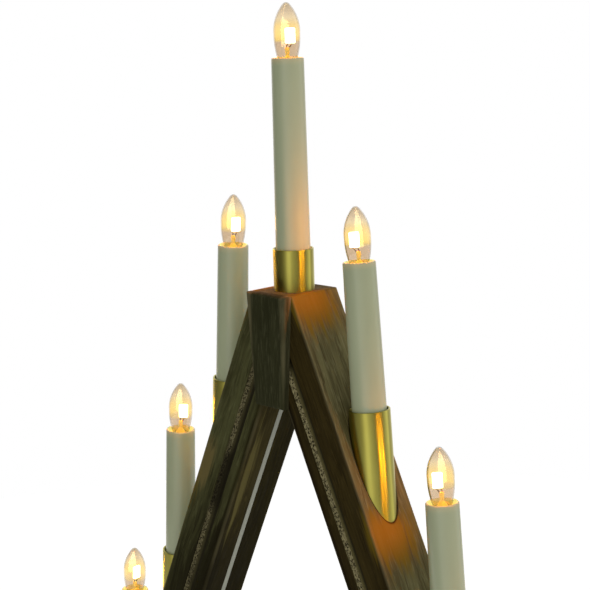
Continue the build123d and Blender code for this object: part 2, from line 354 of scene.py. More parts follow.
PAINTED_SHADE_BLACK = (0.014, 0.011, 0.003)
LEFT_ARM_PATCHES = (
    StainAndPaintedLightPatch((1.0, -0.5, 14.0 * MM), (10.0 * MM, 26.0 * MM, 100.0 * MM), PAINTED_SHADE_BLACK, 0.72),
    StainAndPaintedLightPatch((0.5, -1.0, 10.0 * MM), (36.0 * MM, 9.0 * MM, 105.0 * MM), PAINTED_SHADE_BLACK, 0.85),
    StainAndPaintedLightPatch((1.0, -0.68, 122.0 * MM), (4.0 * MM, 3.8 * MM, 56.0 * MM), (0.205, 0.172, 0.058), 0.85),
    StainAndPaintedLightPatch((-0.75, -1.0, 112.0 * MM), (7.0 * MM, 3.0 * MM, 24.0 * MM), (0.215, 0.165, 0.060), 0.8))


@dataclass(frozen=True)
class DrilledHole:
    """A drilling through a board: a place on its axis, the axis and its radius."""

    place: Point
    axis: Point
    radius: float


@dataclass(frozen=True)
class Board:
    """One board's place: its middle, half sizes across and deep, lean and grain.

    The inner side is the direction across to a grooved face, or 0 on a board that has none.
    The sawn top is the height of a level cut across the fibres, where there is one.
    """

    middle: Point
    half_across: float
    half_deep: float
    lean: float
    grain: Grain
    inner_side: int = 0
    patches: tuple[StainAndPaintedLightPatch, ...] = ()
    holes: tuple[DrilledHole, ...] = ()
    sawn_top: Optional[float] = None


@dataclass(frozen=True)
class WoodFinish:
    """Softwood with a dark finish: uneven streaks, fine fibres, open pores, pale rubbed edges.

    The broad and inner faces are darkened as painted shade, darkest behind the groove as a painted shadow
    of the wire.
    """

    dark: Colour = (0.062, 0.050, 0.018)
    mid: Colour = (0.214, 0.190, 0.084)
    pale: Colour = (0.330, 0.295, 0.150)
    worn: Colour = (0.330, 0.285, 0.150)
    # Painted shade on the broad faces and the inner face, and the wire's painted shadow behind the groove;
    # the sawn top's tint is its darker end grain.
    painted_face_shade: Colour = (0.27, 0.215, 0.125)
    painted_inner_shade: Colour = (0.38, 0.34, 0.23)
    painted_groove_shadow: Colour = (0.42, 0.42, 0.32)
    sawn_tint: Colour = (0.60, 0.66, 0.72)
    streaks: NoiseLayer = NoiseLayer((240.0, 240.0, 17.0), 3.0, 0.6, 0.8, (0.32, 0.68), 0.62)
    flecks: NoiseLayer = NoiseLayer((760.0, 760.0, 110.0), 2.0, 0.5, 0.0, (0.54, 0.70), 0.42)
    fibres: NoiseLayer = NoiseLayer((1100.0, 1100.0, 66.0), 4.0, 0.62, 0.0, (0.48, 0.74), 0.45)
    clouds: NoiseLayer = NoiseLayer((60.0, 60.0, 18.0), 2.0, shown=(0.40, 0.72), share=0.45)
    pores: NoiseLayer = NoiseLayer((1000.0, 1000.0, 40.0), 2.0, shown=(0.60, 0.68))
    pore_share: float = 0.6
    fray: float = 0.25
    patch_edge: tuple[float, float] = (1.0, 0.45)
    wander: float = 3.2 * MM
    wander_scale: Point = (30.0, 30.0, 14.0)
    face_skin: tuple[float, float] = (0.5 * MM, 0.1 * MM)
    groove_reach: float = 0.25
    edge: float = 2.2 * MM
    edge_end: float = 0.2
    edge_share: float = 0.25
    edge_least: float = 0.2
    edge_clouds: tuple[float, float] = (0.30, 0.62)
    # Painted shade in the gap around each sleeve's drilling.
    gap_shade_tone: Colour = (0.020, 0.016, 0.006)
    gap_shade_share: float = 0.9
    gap_shade_edge: tuple[float, float] = (0.9 * MM, 0.3 * MM)
    relief: float = 0.16 * MM
    relief_strength: float = 0.55
    streak_relief: float = 0.4
    roughness: tuple[float, float] = (0.62, 0.85)
    gloss: float = 0.04

    def material(self, name: str, board: Board, shift: float) -> bpy.types.Material:
        """Makes the finish for one board.

        Args:
            name: The material's name.
            board: Where the board is and how its grain runs.
            shift: Moves the pattern, so that no two boards match.

        Returns:
            The material.
        """
        desk = Surface(name)
        spot = self.board_place(desk, board)
        pattern = self.wandering(desk, self.moved(desk, spot, shift))
        streak, fleck, fibre, cloud, pore = (layer.read(desk, pattern) for layer in (
            self.streaks, self.flecks, self.fibres, self.clouds, self.pores))
        pore = self.pores.cover(desk, pore)
        colour = desk.mix(self.streaks.cover(desk, streak), self.mid, self.dark)
        colour = desk.mix(self.flecks.cover(desk, fleck), colour, self.pale)
        colour = desk.mix(self.fibres.cover(desk, fibre), colour, self.pale)
        colour = desk.mix(self.clouds.cover(desk, cloud), colour, self.dark)
        colour = desk.mix(desk.math("MULTIPLY", pore, self.pore_share), colour, self.dark)
        colour = self.stained(desk, spot, board, colour)
        colour = self.patched(desk, spot, board, colour, streak)
        colour = desk.mix(self.rubbed_edges(desk, spot, board, cloud), colour, self.worn)
        colour = self.paint_gap_shade(desk, spot, board, colour)
        ridges = desk.math("ADD", fibre, desk.math("MULTIPLY", streak, self.streak_relief))
        desk.bump(desk.math("SUBTRACT", ridges, pore), self.relief, self.relief_strength)
        desk.set(base_color=colour, roughness=desk.span(fibre, *NOISE_RANGE, *self.roughness),
                 specular_ior_level=self.gloss)
        return desk.material

    def under_face(self, desk: Surface, place: Socket, face: float) -> Socket:
        """1 in the darkened skin of a face, 0 deeper in the board."""
        start, end = self.face_skin
        return desk.span(place, face - start, face - end)

    def stained(self, desk: Surface, spot: Socket, board: Board, colour: Socket) -> Socket:
        """Paints shade on the broad and inner faces and the wire's shadow behind the groove; darkens the
        sawn end grain.

        Args:
            desk: The material being made.
            spot: Places on the board.
            board: The board.
            colour: The wood's colour so far.

        Returns:
            The colour with its painted shade and darker end grain.
        """
        across, deep, _ = desk.parts(spot)
        broad = self.under_face(desk, desk.math("ABSOLUTE", deep), board.half_deep)
        # Painted shade on the broad faces.
        colour = desk.mix(broad, colour, self.painted_face_shade, "MULTIPLY")
        if board.sawn_top is not None:
            sawn = self.under_face(desk, desk.parts(desk.place())[2], board.sawn_top)
            colour = desk.mix(sawn, colour, self.sawn_tint, "MULTIPLY")
        if not board.inner_side:
            return colour
        inward = desk.math("MULTIPLY", across, float(board.inner_side))
        inner = desk.span(inward, board.half_across - 2.0 * self.edge, board.half_across - self.edge)
        behind = desk.span(deep, 0.0, self.groove_reach * board.half_deep)
        # Painted shade on the inner face, and the wire's painted shadow behind the groove.
        colour = desk.mix(inner, colour, self.painted_inner_shade, "MULTIPLY")
        return desk.mix(desk.math("MULTIPLY", inner, behind), colour, self.painted_groove_shadow, "MULTIPLY")

    def paint_gap_shade(self, desk: Surface, spot: Socket, board: Board, colour: Socket) -> Socket:
        """Paints shade around the rims of the drillings on the outer face, the shadow in the gap around
        each sleeve.

        Args:
            desk: The material being made.
            spot: Places on the board.
            board: The board.
            colour: The wood's colour so far.

        Returns:
            The colour with its painted shade at the rims.
        """
        inward = desk.math("MULTIPLY", desk.parts(spot)[0], float(board.inner_side))
        outer = desk.span(inward, 0.0, -0.5 * board.half_across, 0.0, self.gap_shade_share)
        for hole in board.holes:
            away = desk.vector_math("SUBTRACT", desk.place(), hole.place).outputs[0]
            arm = desk.vector_math("CROSS_PRODUCT", away, hole.axis).outputs[0]
            reach = desk.vector_math("LENGTH", arm).outputs["Value"]
            far, near = (hole.radius + gap for gap in self.gap_shade_edge)
            gap_shade_mask = desk.span(reach, far, near)
            colour = desk.mix(desk.math("MULTIPLY", gap_shade_mask, outer), colour, self.gap_shade_tone)
        return colour

    def patched(self, desk: Surface, spot: Socket, board: Board, colour: Socket,
                streak: Socket) -> Socket:
        """Lays the board's own patches, frayed by its grain.

        Args:
            desk: The material being made.
            spot: Places on the board.
            board: The board.
            colour: The wood's colour so far.
            streak: Noise along the grain that frays the patches.

        Returns:
            The colour with its patches.
        """
        for patch in board.patches:
            across, deep, along = patch.middle
            middle = (across * board.half_across, deep * board.half_deep, along)
            away = desk.vector_math("SUBTRACT", spot, middle).outputs[0]
            shrunk = desk.scaled(away, tuple(1.0 / half for half in patch.half))
            size = desk.vector_math("LENGTH", shrunk).outputs["Value"]
            frayed = desk.math("ADD", size, desk.span(streak, *NOISE_RANGE, -self.fray, self.fray))
            colour = desk.mix(desk.span(frayed, *self.patch_edge, 0.0, patch.share), colour, patch.tone)
        return colour

    @staticmethod
    def board_place(desk: Surface, board: Board) -> Socket:
        """Places on a board: across, deep and along its fibres, from its middle.

        Args:
            desk: The material being made.
            board: The board.

        Returns:
            The vector's socket.
        """
        turn = {Grain.UPRIGHT: 0.0, Grain.ALONG_ARM: board.lean, Grain.LENGTHWISE: 90.0}[board.grain]
        angle = math.radians(turn)
        shift = Matrix.Rotation(angle, 3, "Y") @ Vector(board.middle)
        node = desk.add("ShaderNodeMapping", vector_type="POINT")
        desk.feed(node.inputs["Vector"], desk.place())
        node.inputs["Rotation"].default_value = (0.0, angle, 0.0)
        node.inputs["Location"].default_value = -shift
        return node.outputs[0]

    @staticmethod
    def moved(desk: Surface, spot: Socket, shift: float) -> Socket:
        """The same places, moved along the log that the board was cut from."""
        return desk.vector_math("ADD", spot, (0.0, 0.0, shift)).outputs[0]

    def wandering(self, desk: Surface, pattern: Socket) -> Socket:
        """Lets the fibres wander sideways, as they do in a grown board.

        Args:
            desk: The material being made.
            pattern: Places on the board.

        Returns:
            The places, moved sideways by slow noise.
        """
        slow = desk.add("ShaderNodeTexNoise")
        desk.feed(slow.inputs["Vector"], desk.scaled(pattern, self.wander_scale))
        desk.feed(slow.inputs["Scale"], 1.0)
        reach = 2.0 * self.wander
        push = desk.scaled(slow.outputs["Color"], (reach, reach, 0.0))
        return desk.vector_math("ADD", pattern, push).outputs[0]

    def rubbed_edges(self, desk: Surface, spot: Socket, board: Board, cloud: Socket) -> Socket:
        """Where the stain is rubbed thin along the long edges.

        Args:
            desk: The material being made.
            spot: Places on the board.
            board: The board.
            cloud: Noise that breaks the wear up.

        Returns:
            The wear from 0 to 1.
        """
        near = []
        for part, half in zip(desk.parts(spot), (board.half_across, board.half_deep)):
            reach = desk.math("ABSOLUTE", part)
            near.append(desk.span(reach, half - self.edge, half - self.edge_end * self.edge))
        worn = desk.span(cloud, *self.edge_clouds, self.edge_least * self.edge_share, self.edge_share)
        return desk.math("MULTIPLY", desk.math("MULTIPLY", *near), worn)


@dataclass(frozen=True)
class FluteFinish:
    """Cutter marks in a flute: a torn wall on its left side, pale from its torn fibres and painted lighter
    as the lit side, and a smoother floor painted into shade towards the right wall.

    A band of painted shade may lie around one height; a half length of 0 means that there is none.
    """

    dark: Colour = (0.030, 0.025, 0.010)
    floor: Colour = (0.200, 0.172, 0.066)
    torn: Colour = (0.520, 0.450, 0.230)
    specks: NoiseLayer = NoiseLayer((1150.0, 1150.0, 640.0), 4.0, 0.7, shown=(0.40, 0.58))
    floor_specks: tuple[float, float] = (0.30, 0.75)
    floor_share: float = 0.4
    clouds: NoiseLayer = NoiseLayer((110.0, 110.0, 60.0), 2.0, shown=(0.48, 0.72), share=0.4)
    # Ranges across the flute of the lit torn wall and of the painted shade.
    torn_lit_wall: tuple[float, float] = (-0.58, -0.76)
    shaded_wall: tuple[float, float] = (-0.62, -0.12)
    stain: Colour = (0.014, 0.011, 0.004)
    stain_middle: float = 0.0
    shade_band_half: float = 0.0
    shade_band_share: float = 0.85
    relief: float = 0.3 * MM
    relief_strength: float = 0.7
    roughness: float = 0.8
    gloss: float = 0.1

    def material(self, name: str) -> bpy.types.Material:
        """Makes the finish.

        Args:
            name: The material's name.

        Returns:
            The material.
        """
        desk = Surface(name)
        across = desk.add("ShaderNodeAttribute", attribute_name=ACROSS).outputs["Fac"]
        # The left wall: pale torn fibres, painted lighter as the lit side.
        wall = desk.span(across, *self.torn_lit_wall)
        speck, cloud = (layer.read(desk, desk.place()) for layer in (self.specks, self.clouds))
        rough = desk.mix(self.specks.cover(desk, speck), self.dark, self.torn)
        plain = desk.mix(desk.span(speck, *self.floor_specks, 0.0, self.floor_share), self.floor, self.dark)
        # Painted shade over the floor towards the right wall.
        plain = desk.mix(desk.span(across, *self.shaded_wall), plain, self.dark)
        colour = desk.mix(wall, plain, rough)
        colour = desk.mix(self.clouds.cover(desk, cloud), colour, self.dark)
        # A band of painted shade around one height.
        if self.shade_band_half > 0.0:
            height = desk.parts(desk.place())[2]
            away = desk.math("ABSOLUTE", desk.math("SUBTRACT", height, self.stain_middle))
            band_shade = desk.span(away, self.shade_band_half, 0.5 * self.shade_band_half, 0.0, self.shade_band_share)
            colour = desk.mix(band_shade, colour, self.stain)
        desk.bump(desk.math("MULTIPLY", speck, wall), self.relief, self.relief_strength)
        desk.set(base_color=colour, roughness=self.roughness, specular_ior_level=self.gloss)
        return desk.material


@dataclass(frozen=True)
class BrassFinish:
    """Brass brushed around the sleeve, so that reflections stretch along it."""

    light: Colour = (0.52, 0.470, 0.100)
    deep: Colour = (0.47, 0.415, 0.084)
    roughness: tuple[float, float] = (0.31, 0.33)
    stretch: float = 0.96
    quarter_turn: float = 0.25
    clouds: NoiseLayer = NoiseLayer((60.0, 60.0, 24.0), shown=(0.35, 0.65))

    def material(self, name: str) -> bpy.types.Material:
        """Makes the finish.

        Args:
            name: The material's name.

        Returns:
            The material.
        """
        desk = Surface(name)
        cloud = self.clouds.read(desk, desk.place())
        around = desk.add("ShaderNodeTangent", direction_type="UV_MAP", uv_map=UV_NAME)
        desk.set(base_color=desk.mix(self.clouds.cover(desk, cloud), self.deep, self.light),
                 metallic=1.0, roughness=desk.span(cloud, *NOISE_RANGE, *self.roughness),
                 anisotropic=self.stretch, anisotropic_rotation=self.quarter_turn,
                 tangent=around.outputs[0])
        return desk.material


@dataclass(frozen=True)
class IvoryFinish:
    """Satin ivory plastic that lets a little lamplight through just under the rim."""

    tone: Colour = (0.60, 0.65, 0.415)
    shade: Colour = (0.565, 0.615, 0.390)
    glow: Colour = (1.0, 0.34, 0.03)
    glow_depth: float = 4.5
    glow_strength: float = 0.09
    clouds: NoiseLayer = NoiseLayer((70.0, 70.0, 16.0), shown=(0.32, 0.68))
    skin: NoiseLayer = NoiseLayer((900.0, 900.0, 260.0))
    relief: float = 0.02 * MM
    relief_strength: float = 0.3
    roughness: tuple[float, float] = (0.16, 0.22)
    gloss: float = 0.40

    def material(self, name: str) -> bpy.types.Material:
        """Makes the finish.

        Args:
            name: The material's name.

        Returns:
            The material.
        """
        desk = Surface(name)
        cloud, skin = (layer.read(desk, desk.place()) for layer in (self.clouds, self.skin))
        desk.bump(skin, self.relief, self.relief_strength)
        lit = desk.span(desk.rise(), -self.glow_depth, 0.0, 0.0, self.glow_strength)
        desk.set(base_color=desk.mix(self.clouds.cover(desk, cloud), self.shade, self.tone),
                 roughness=desk.span(skin, *NOISE_RANGE, *self.roughness), specular_ior_level=self.gloss,
                 emission_color=self.glow, emission_strength=lit)
        return desk.material


@dataclass(frozen=True)
class DishFinish:
    """The recess around a bulb, where the thin ivory plastic glows with its light."""

    tone: Colour = (0.45, 0.42, 0.22)
    rim: Colour = (0.95, 0.96, 0.27)
    deep: Colour = (0.97, 0.82, 0.07)
    strengths: tuple[float, float] = (0.66, 0.56)
    glow_depth: float = 4.0
    clouds: NoiseLayer = NoiseLayer((260.0, 260.0, 260.0), 2.0)
    uneven: tuple[float, float] = (0.86, 1.1)
    roughness: float = 0.4

    def material(self, name: str) -> bpy.types.Material:
        """Makes the finish.

        Args:
            name: The material's name.

        Returns:
            The material.
        """
        desk = Surface(name)
        depth = desk.span(desk.rise(), -self.glow_depth, 0.0)
        cloud = self.clouds.read(desk, desk.place())
        shine = desk.math("MULTIPLY", desk.span(depth, 0.0, 1.0, *self.strengths),
                          desk.span(cloud, *NOISE_RANGE, *self.uneven))
        desk.set(base_color=self.tone, roughness=self.roughness, emission_strength=shine,
                 emission_color=desk.mix(depth, self.deep, self.rim))
        return desk.material


@dataclass(frozen=True)
class GlassFinish:
    """Clear blown glass, tanned below the lit plate and at the tip; its golden tint around the plate is
    painted glow, its darkened silhouette a painted dark reflection.
    """

    tones: tuple[tuple[float, Colour], ...] = (
        (-3.0, (0.80, 0.68, 0.54)), (8.3, (0.81, 0.69, 0.55)), (9.6, (0.94, 0.79, 0.45)),
        (18.0, (0.94, 0.81, 0.54)), (22.0, (0.94, 0.84, 0.66)), (25.0, (0.85, 0.75, 0.61)),
        (31.0, (0.70, 0.62, 0.50)))
    outline: Colour = (0.30, 0.21, 0.13)
    outline_facing: tuple[float, float] = (0.52, 0.86)
    outline_share: float = 0.85
    glow: Colour = (1.0, 0.66, 0.20)
    glow_heights: tuple[float, float, float] = (8.0, 13.0, 22.0)
    glow_strength: float = 0.09
    swirls: NoiseLayer = NoiseLayer((170.0, 170.0, 90.0), 2.0)
    uneven: tuple[float, float] = (0.6, 1.0)
    relief: float = 0.05 * MM
    relief_strength: float = 0.3
    bending: float = 1.47

    def material(self, name: str) -> bpy.types.Material:
        """Makes the finish.

        Args:
            name: The material's name.

        Returns:
            The material.
        """
        desk = Surface(name)
        rise = desk.rise()
        low, high = self.tones[0][0], self.tones[-1][0]
        share = desk.math("DIVIDE", desk.math("SUBTRACT", rise, low), high - low)
        # The golden tint around the lit plate is painted glow.
        tint = desk.ramp(share, [((height - low) / (high - low), tone) for height, tone in self.tones])
        # The silhouette is darkened as a painted dark reflection.
        edge = desk.add("ShaderNodeLayerWeight").outputs["Facing"]
        tint = desk.mix(desk.span(edge, *self.outline_facing, 0.0, self.outline_share), tint, self.outline)
        start, middle, end = self.glow_heights
        belt = desk.math("MULTIPLY", desk.span(rise, start, middle), desk.span(rise, end, middle))
        swirl = self.swirls.read(desk, desk.place())
        belt = desk.math("MULTIPLY", belt, desk.span(swirl, *NOISE_RANGE, *self.uneven))
        desk.bump(swirl, self.relief, self.relief_strength)
        desk.set(base_color=tint, roughness=0.0, ior=self.bending, transmission_weight=1.0,
                 emission_color=self.glow,
                 emission_strength=desk.math("MULTIPLY", belt, self.glow_strength))
        return desk.material


@dataclass(frozen=True)
class LampFinish:
    """A glowing inner piece of a bulb."""

    tone: Colour
    light: Colour
    strength: float
    clouds: NoiseLayer = NoiseLayer((420.0, 420.0, 420.0), 2.0)
    uneven: tuple[float, float] = (0.85, 1.1)
    roughness: float = 0.35

    def material(self, name: str) -> bpy.types.Material:
        """Makes the finish, a little uneven along the piece.

        Args:
            name: The material's name.

        Returns:
            The material.
        """
        desk = Surface(name)
        cloud = self.clouds.read(desk, desk.place())
        shine = desk.span(cloud, *NOISE_RANGE, *(share * self.strength for share in self.uneven))
        desk.set(base_color=self.tone, roughness=self.roughness, emission_color=self.light,
                 emission_strength=shine)
        return desk.material


@dataclass(frozen=True)
class PlainFinish:
    """A small hidden or metal piece: two close tones, a fine relief and its own gloss."""

    tone: Colour
    shade: Colour
    metallic: float
    roughness: tuple[float, float]
    grain: Point
    relief: float
    detail: float = 4.0
    coarseness: float = 0.6
    relief_strength: float = 0.6

    def material(self, name: str) -> bpy.types.Material:
        """Makes the finish.

        Args:
            name: The material's name.

        Returns:
            The material.
        """
        desk = Surface(name)
        grain = desk.noise(desk.scaled(desk.place(), self.grain), self.detail, self.coarseness)
        desk.bump(grain, self.relief, self.relief_strength)
        desk.set(base_color=desk.mix(desk.span(grain, *NOISE_RANGE), self.shade, self.tone),
                 metallic=self.metallic, roughness=desk.span(grain, *NOISE_RANGE, *self.roughness))
        return desk.material


SHEATH = PlainFinish((0.53, 0.545, 0.44), (0.45, 0.465, 0.37), 0.0, (0.45, 0.55),
                     (600.0, 600.0, 90.0), 0.03 * MM)
FELT = PlainFinish((0.045, 0.042, 0.038), (0.018, 0.017, 0.016), 0.0, (0.9, 1.0),
                   (1500.0, 1500.0, 1500.0), 0.4 * MM)
STEEL = PlainFinish((0.56, 0.55, 0.53), (0.42, 0.41, 0.40), 1.0, (0.28, 0.42),
                    (900.0, 900.0, 120.0), 0.02 * MM)
DOWEL = PlainFinish((0.42, 0.29, 0.16), (0.30, 0.20, 0.10), 0.0, (0.55, 0.7),
                    (40.0, 900.0, 900.0), 0.1 * MM)
NICKEL = PlainFinish((0.66, 0.60, 0.48), (0.52, 0.46, 0.34), 1.0, (0.2, 0.34),
                    (500.0, 500.0, 900.0), 0.02 * MM)
LEAD_WIRE = PlainFinish((0.36, 0.25, 0.14), (0.22, 0.14, 0.07), 1.0, (0.3, 0.45),
                        (900.0, 900.0, 300.0), 0.01 * MM)
SOCKET_PLASTIC = PlainFinish((0.46, 0.40, 0.25), (0.38, 0.32, 0.19), 0.0, (0.4, 0.5),
                             (420.0, 420.0, 420.0), 0.03 * MM)
CONTACT_BRASS = PlainFinish((0.78, 0.62, 0.27), (0.62, 0.47, 0.18), 1.0, (0.2, 0.34),
                            (700.0, 700.0, 700.0), 0.02 * MM)
LIT_PLATE = LampFinish((0.9, 0.8, 0.5), (1.0, 0.84, 0.50), 9.0)
STEM_GLASS = LampFinish((0.60, 0.48, 0.14), (1.0, 0.74, 0.08), 0.54)


def keep_plain(obj: bpy.types.Object) -> bpy.types.Object:
    """Turns an object with live modifiers into a plain mesh of the same name.

    Args:
        obj: The object, which is removed.

    Returns:
        The plain object, linked to the scene at the origin.
    """
    bpy.context.view_layer.update()
    graph = bpy.context.evaluated_depsgraph_get()
    mesh = bpy.data.meshes.new_from_object(obj.evaluated_get(graph))
    name = obj.name
    bpy.data.objects.remove(obj)
    mesh.name = name
    return linked(name, mesh)


def linked(name: str, mesh: bpy.types.ID) -> bpy.types.Object:
    """A new object for some data, linked to the scene."""
    obj = bpy.data.objects.new(name, mesh)
    bpy.context.scene.collection.objects.link(obj)
    return obj


def arc_through(first: RingPoint, middle: RingPoint, last: RingPoint, count: int) -> list[RingPoint]:
    """Points on the circle through three points, from the first to the last.

    Args:
        first: Start of the arc.
        middle: A point on the arc.
        last: End of the arc.
        count: How many points, both ends included.

    Returns:
        The points in order.
    """
    (ax, ay), (bx, by), (cx, cy) = first, middle, last
    double = 2.0 * (ax * (by - cy) + bx * (cy - ay) + cx * (ay - by))
    squares = (ax * ax + ay * ay, bx * bx + by * by, cx * cx + cy * cy)
    ox = (squares[0] * (by - cy) + squares[1] * (cy - ay) + squares[2] * (ay - by)) / double
    oy = (squares[0] * (cx - bx) + squares[1] * (ax - cx) + squares[2] * (bx - ax)) / double
    radius = math.hypot(ax - ox, ay - oy)
    start, end = math.atan2(ay - oy, ax - ox), math.atan2(cy - oy, cx - ox)
    sweep = (end - start + math.pi) % FULL_TURN - math.pi
    steps = [start + sweep * index / (count - 1) for index in range(count)]
    return [(ox + radius * math.cos(turn), oy + radius * math.sin(turn)) for turn in steps]


def quarter(centre: RingPoint, radius: float, start: float, sweep: float = 90.0,
            count: int = 6) -> list[RingPoint]:
    """Points on a rounded edge.

    Args:
        centre: Middle of the rounding.
        radius: Its radius.
        start: Angle of the first point.
        sweep: How far the rounding turns.
        count: How many points.

    Returns:
        The points in order.
    """
    turns = [math.radians(start + sweep * index / (count - 1)) for index in range(count)]
    return [(centre[0] + radius * math.cos(turn), centre[1] + radius * math.sin(turn)) for turn in turns]


@dataclass
class Turning:
    """A turned piece: an outline of (radius, height) stretches, each with its own finish."""

    name: str
    place: Matrix
    stretches: Sequence[tuple[int, Sequence[RingPoint]]]
    materials: Sequence[bpy.types.Material]
    closed: bool = True
    segments: int = 96
    crease: float = 32.0

    def build(self) -> bpy.types.Object:
        """Turns the outline about its own axis and sets it in place.

        Returns:
            The piece, linked to the scene, with a UV map and its height over the rim.
        """
        mesh = bpy.data.meshes.new(self.name)
        work = bmesh.new()
        outline = [(point, index) for index, points in self.stretches for point in points]
        outline = [entry for at, entry in enumerate(outline)
                   if at == 0 or not self.same(entry, outline[at - 1])]
        if self.closed:
            outline.append(outline[0])
        rings = self.rings(work, outline)
        self.skin(work, rings, outline)
        bmesh.ops.recalc_face_normals(work, faces=work.faces)
        work.to_mesh(mesh)
        work.free()
        for material in self.materials:
            mesh.materials.append(material)
        mesh.set_sharp_from_angle(angle=math.radians(self.crease))
        rise = mesh.attributes.new(RISE, "FLOAT", "POINT")
        rise.data.foreach_set("value", [vertex.co.z / MM for vertex in mesh.vertices])
        mesh.transform(self.place)
        return linked(self.name, mesh)

    @staticmethod
    def same(entry: tuple[RingPoint, int], other: tuple[RingPoint, int]) -> bool:
        """True if two outline points lie on each other."""
        return math.dist(entry[0], other[0]) < 1e-6

    def rings(self, work: bmesh.types.BMesh, outline: Sequence[tuple[RingPoint, int]]) -> list[list]:
        """A ring of vertices for each outline point, or one vertex on the axis.

        Args:
            work: The mesh being made.
            outline: Points with their finish.

        Returns:
            The rings in order; a closed outline ends in its first ring.
        """
        rings: list[list] = []
        for at, ((radius, height), _) in enumerate(outline):
            if self.closed and at == len(outline) - 1:
                rings.append(rings[0])
                continue
            count = self.segments if radius > 1e-7 else 1
            turns = [FULL_TURN * step / count for step in range(count)]
            rings.append([work.verts.new((radius * math.cos(turn), radius * math.sin(turn), height))
                          for turn in turns])
        return rings

    def skin(self, work: bmesh.types.BMesh, rings: Sequence[list],
             outline: Sequence[tuple[RingPoint, int]]) -> None:
        """Faces between neighbouring rings, with their finish and UV map.

        Args:
            work: The mesh being made.
            rings: The rings in order.
            outline: Points with their finish.
        """
        layer = work.loops.layers.uv.new(UV_NAME)
        for at in range(len(rings) - 1):
            low, high = rings[at], rings[at + 1]
            for step in range(self.segments):
                after = (step + 1) % self.segments
                corners = [(low, step, 0), (low, after, 0), (high, after, 1), (high, step, 1)]
                verts, marks = [], []
                for ring, index, row in corners:
                    vert = ring[index if len(ring) > 1 else 0]
                    if vert not in verts:
                        verts.append(vert)
                        turn = step + 1 if index == after else step
                        marks.append((turn / self.segments, (at + row) / (len(rings) - 1)))
                if len(verts) < 3:
                    continue
                face = work.faces.new(verts)
                face.smooth = True
                face.material_index = outline[at + 1][1]
                for loop, mark in zip(face.loops, marks):
                    loop[layer].uv = mark


class GeometryTree(NodeDesk):
    """A geometry node tree with named inputs."""

    def __init__(self, name: str) -> None:
        """Starts an empty tree with a geometry output.

        Args:
            name: The tree's name.
        """
        super().__init__(bpy.data.node_groups.new(name, "GeometryNodeTree"))
        self.tree.interface.new_socket("Geometry", in_out="INPUT", socket_type="NodeSocketGeometry")
        self.tree.interface.new_socket("Geometry", in_out="OUTPUT", socket_type="NodeSocketGeometry")
        self.inputs = self.add("NodeGroupInput")
        self.outputs = self.add("NodeGroupOutput")

    def number(self, label: str, value: float) -> Socket:
        """A named number that the modifier can set."""
        item = self.tree.interface.new_socket(label, in_out="INPUT", socket_type="NodeSocketFloat")
        item.default_value = value
        return self.inputs.outputs[label]

    def count(self, label: str, value: int) -> Socket:
        """A named whole number that the modifier can set."""
        item = self.tree.interface.new_socket(label, in_out="INPUT", socket_type="NodeSocketInt")
        item.default_value = value
        return self.inputs.outputs[label]

    def vector(self, label: str) -> Socket:
        """A named place that the modifier can set."""
        self.tree.interface.new_socket(label, in_out="INPUT", socket_type="NodeSocketVector")
        return self.inputs.outputs[label]

    def finish(self, geometry: Socket) -> None:
        """Ends the tree: real geometry with the material that the modifier names.

        Args:
            geometry: The geometry to hand out.
        """
        self.tree.interface.new_socket("Finish", in_out="INPUT", socket_type="NodeSocketMaterial")
        real = self.add("GeometryNodeRealizeInstances")
        dressed = self.add("GeometryNodeSetMaterial")
        self.feed(real.inputs[0], geometry)
        self.feed(dressed.inputs["Geometry"], real.outputs[0])
        self.feed(dressed.inputs["Material"], self.inputs.outputs["Finish"])
        self.feed(self.outputs.inputs[0], dressed.outputs[0])

    def run(self, name: str, values: dict[str, object],
            data: Optional[bpy.types.ID] = None) -> bpy.types.Object:
        """Runs the tree on an object and keeps the result as a plain mesh.

        Args:
            name: Name of the piece.
            values: Value of each named input.
            data: Mesh or curve that the tree starts from, if it needs one.

        Returns:
            The piece.
        """
        obj = linked(name, data or bpy.data.meshes.new(name))
        modifier = obj.modifiers.new("Shape", "NODES")
        modifier.node_group = self.tree
        for item in self.tree.interface.items_tree:
            if item.in_out == "INPUT" and item.name in values:
                modifier[item.identifier] = values[item.name]
        return keep_plain(obj)


LINING_SWEEP = 0.94 * math.pi
TEAR_AROUND, TEAR_ALONG = 3.2, 620.0
CHATTER_DRIFT, CHATTER_SHARE = 9.0, 0.22
TEAR_LEAST, TEAR_AT_FLOOR = 0.05, 0.15


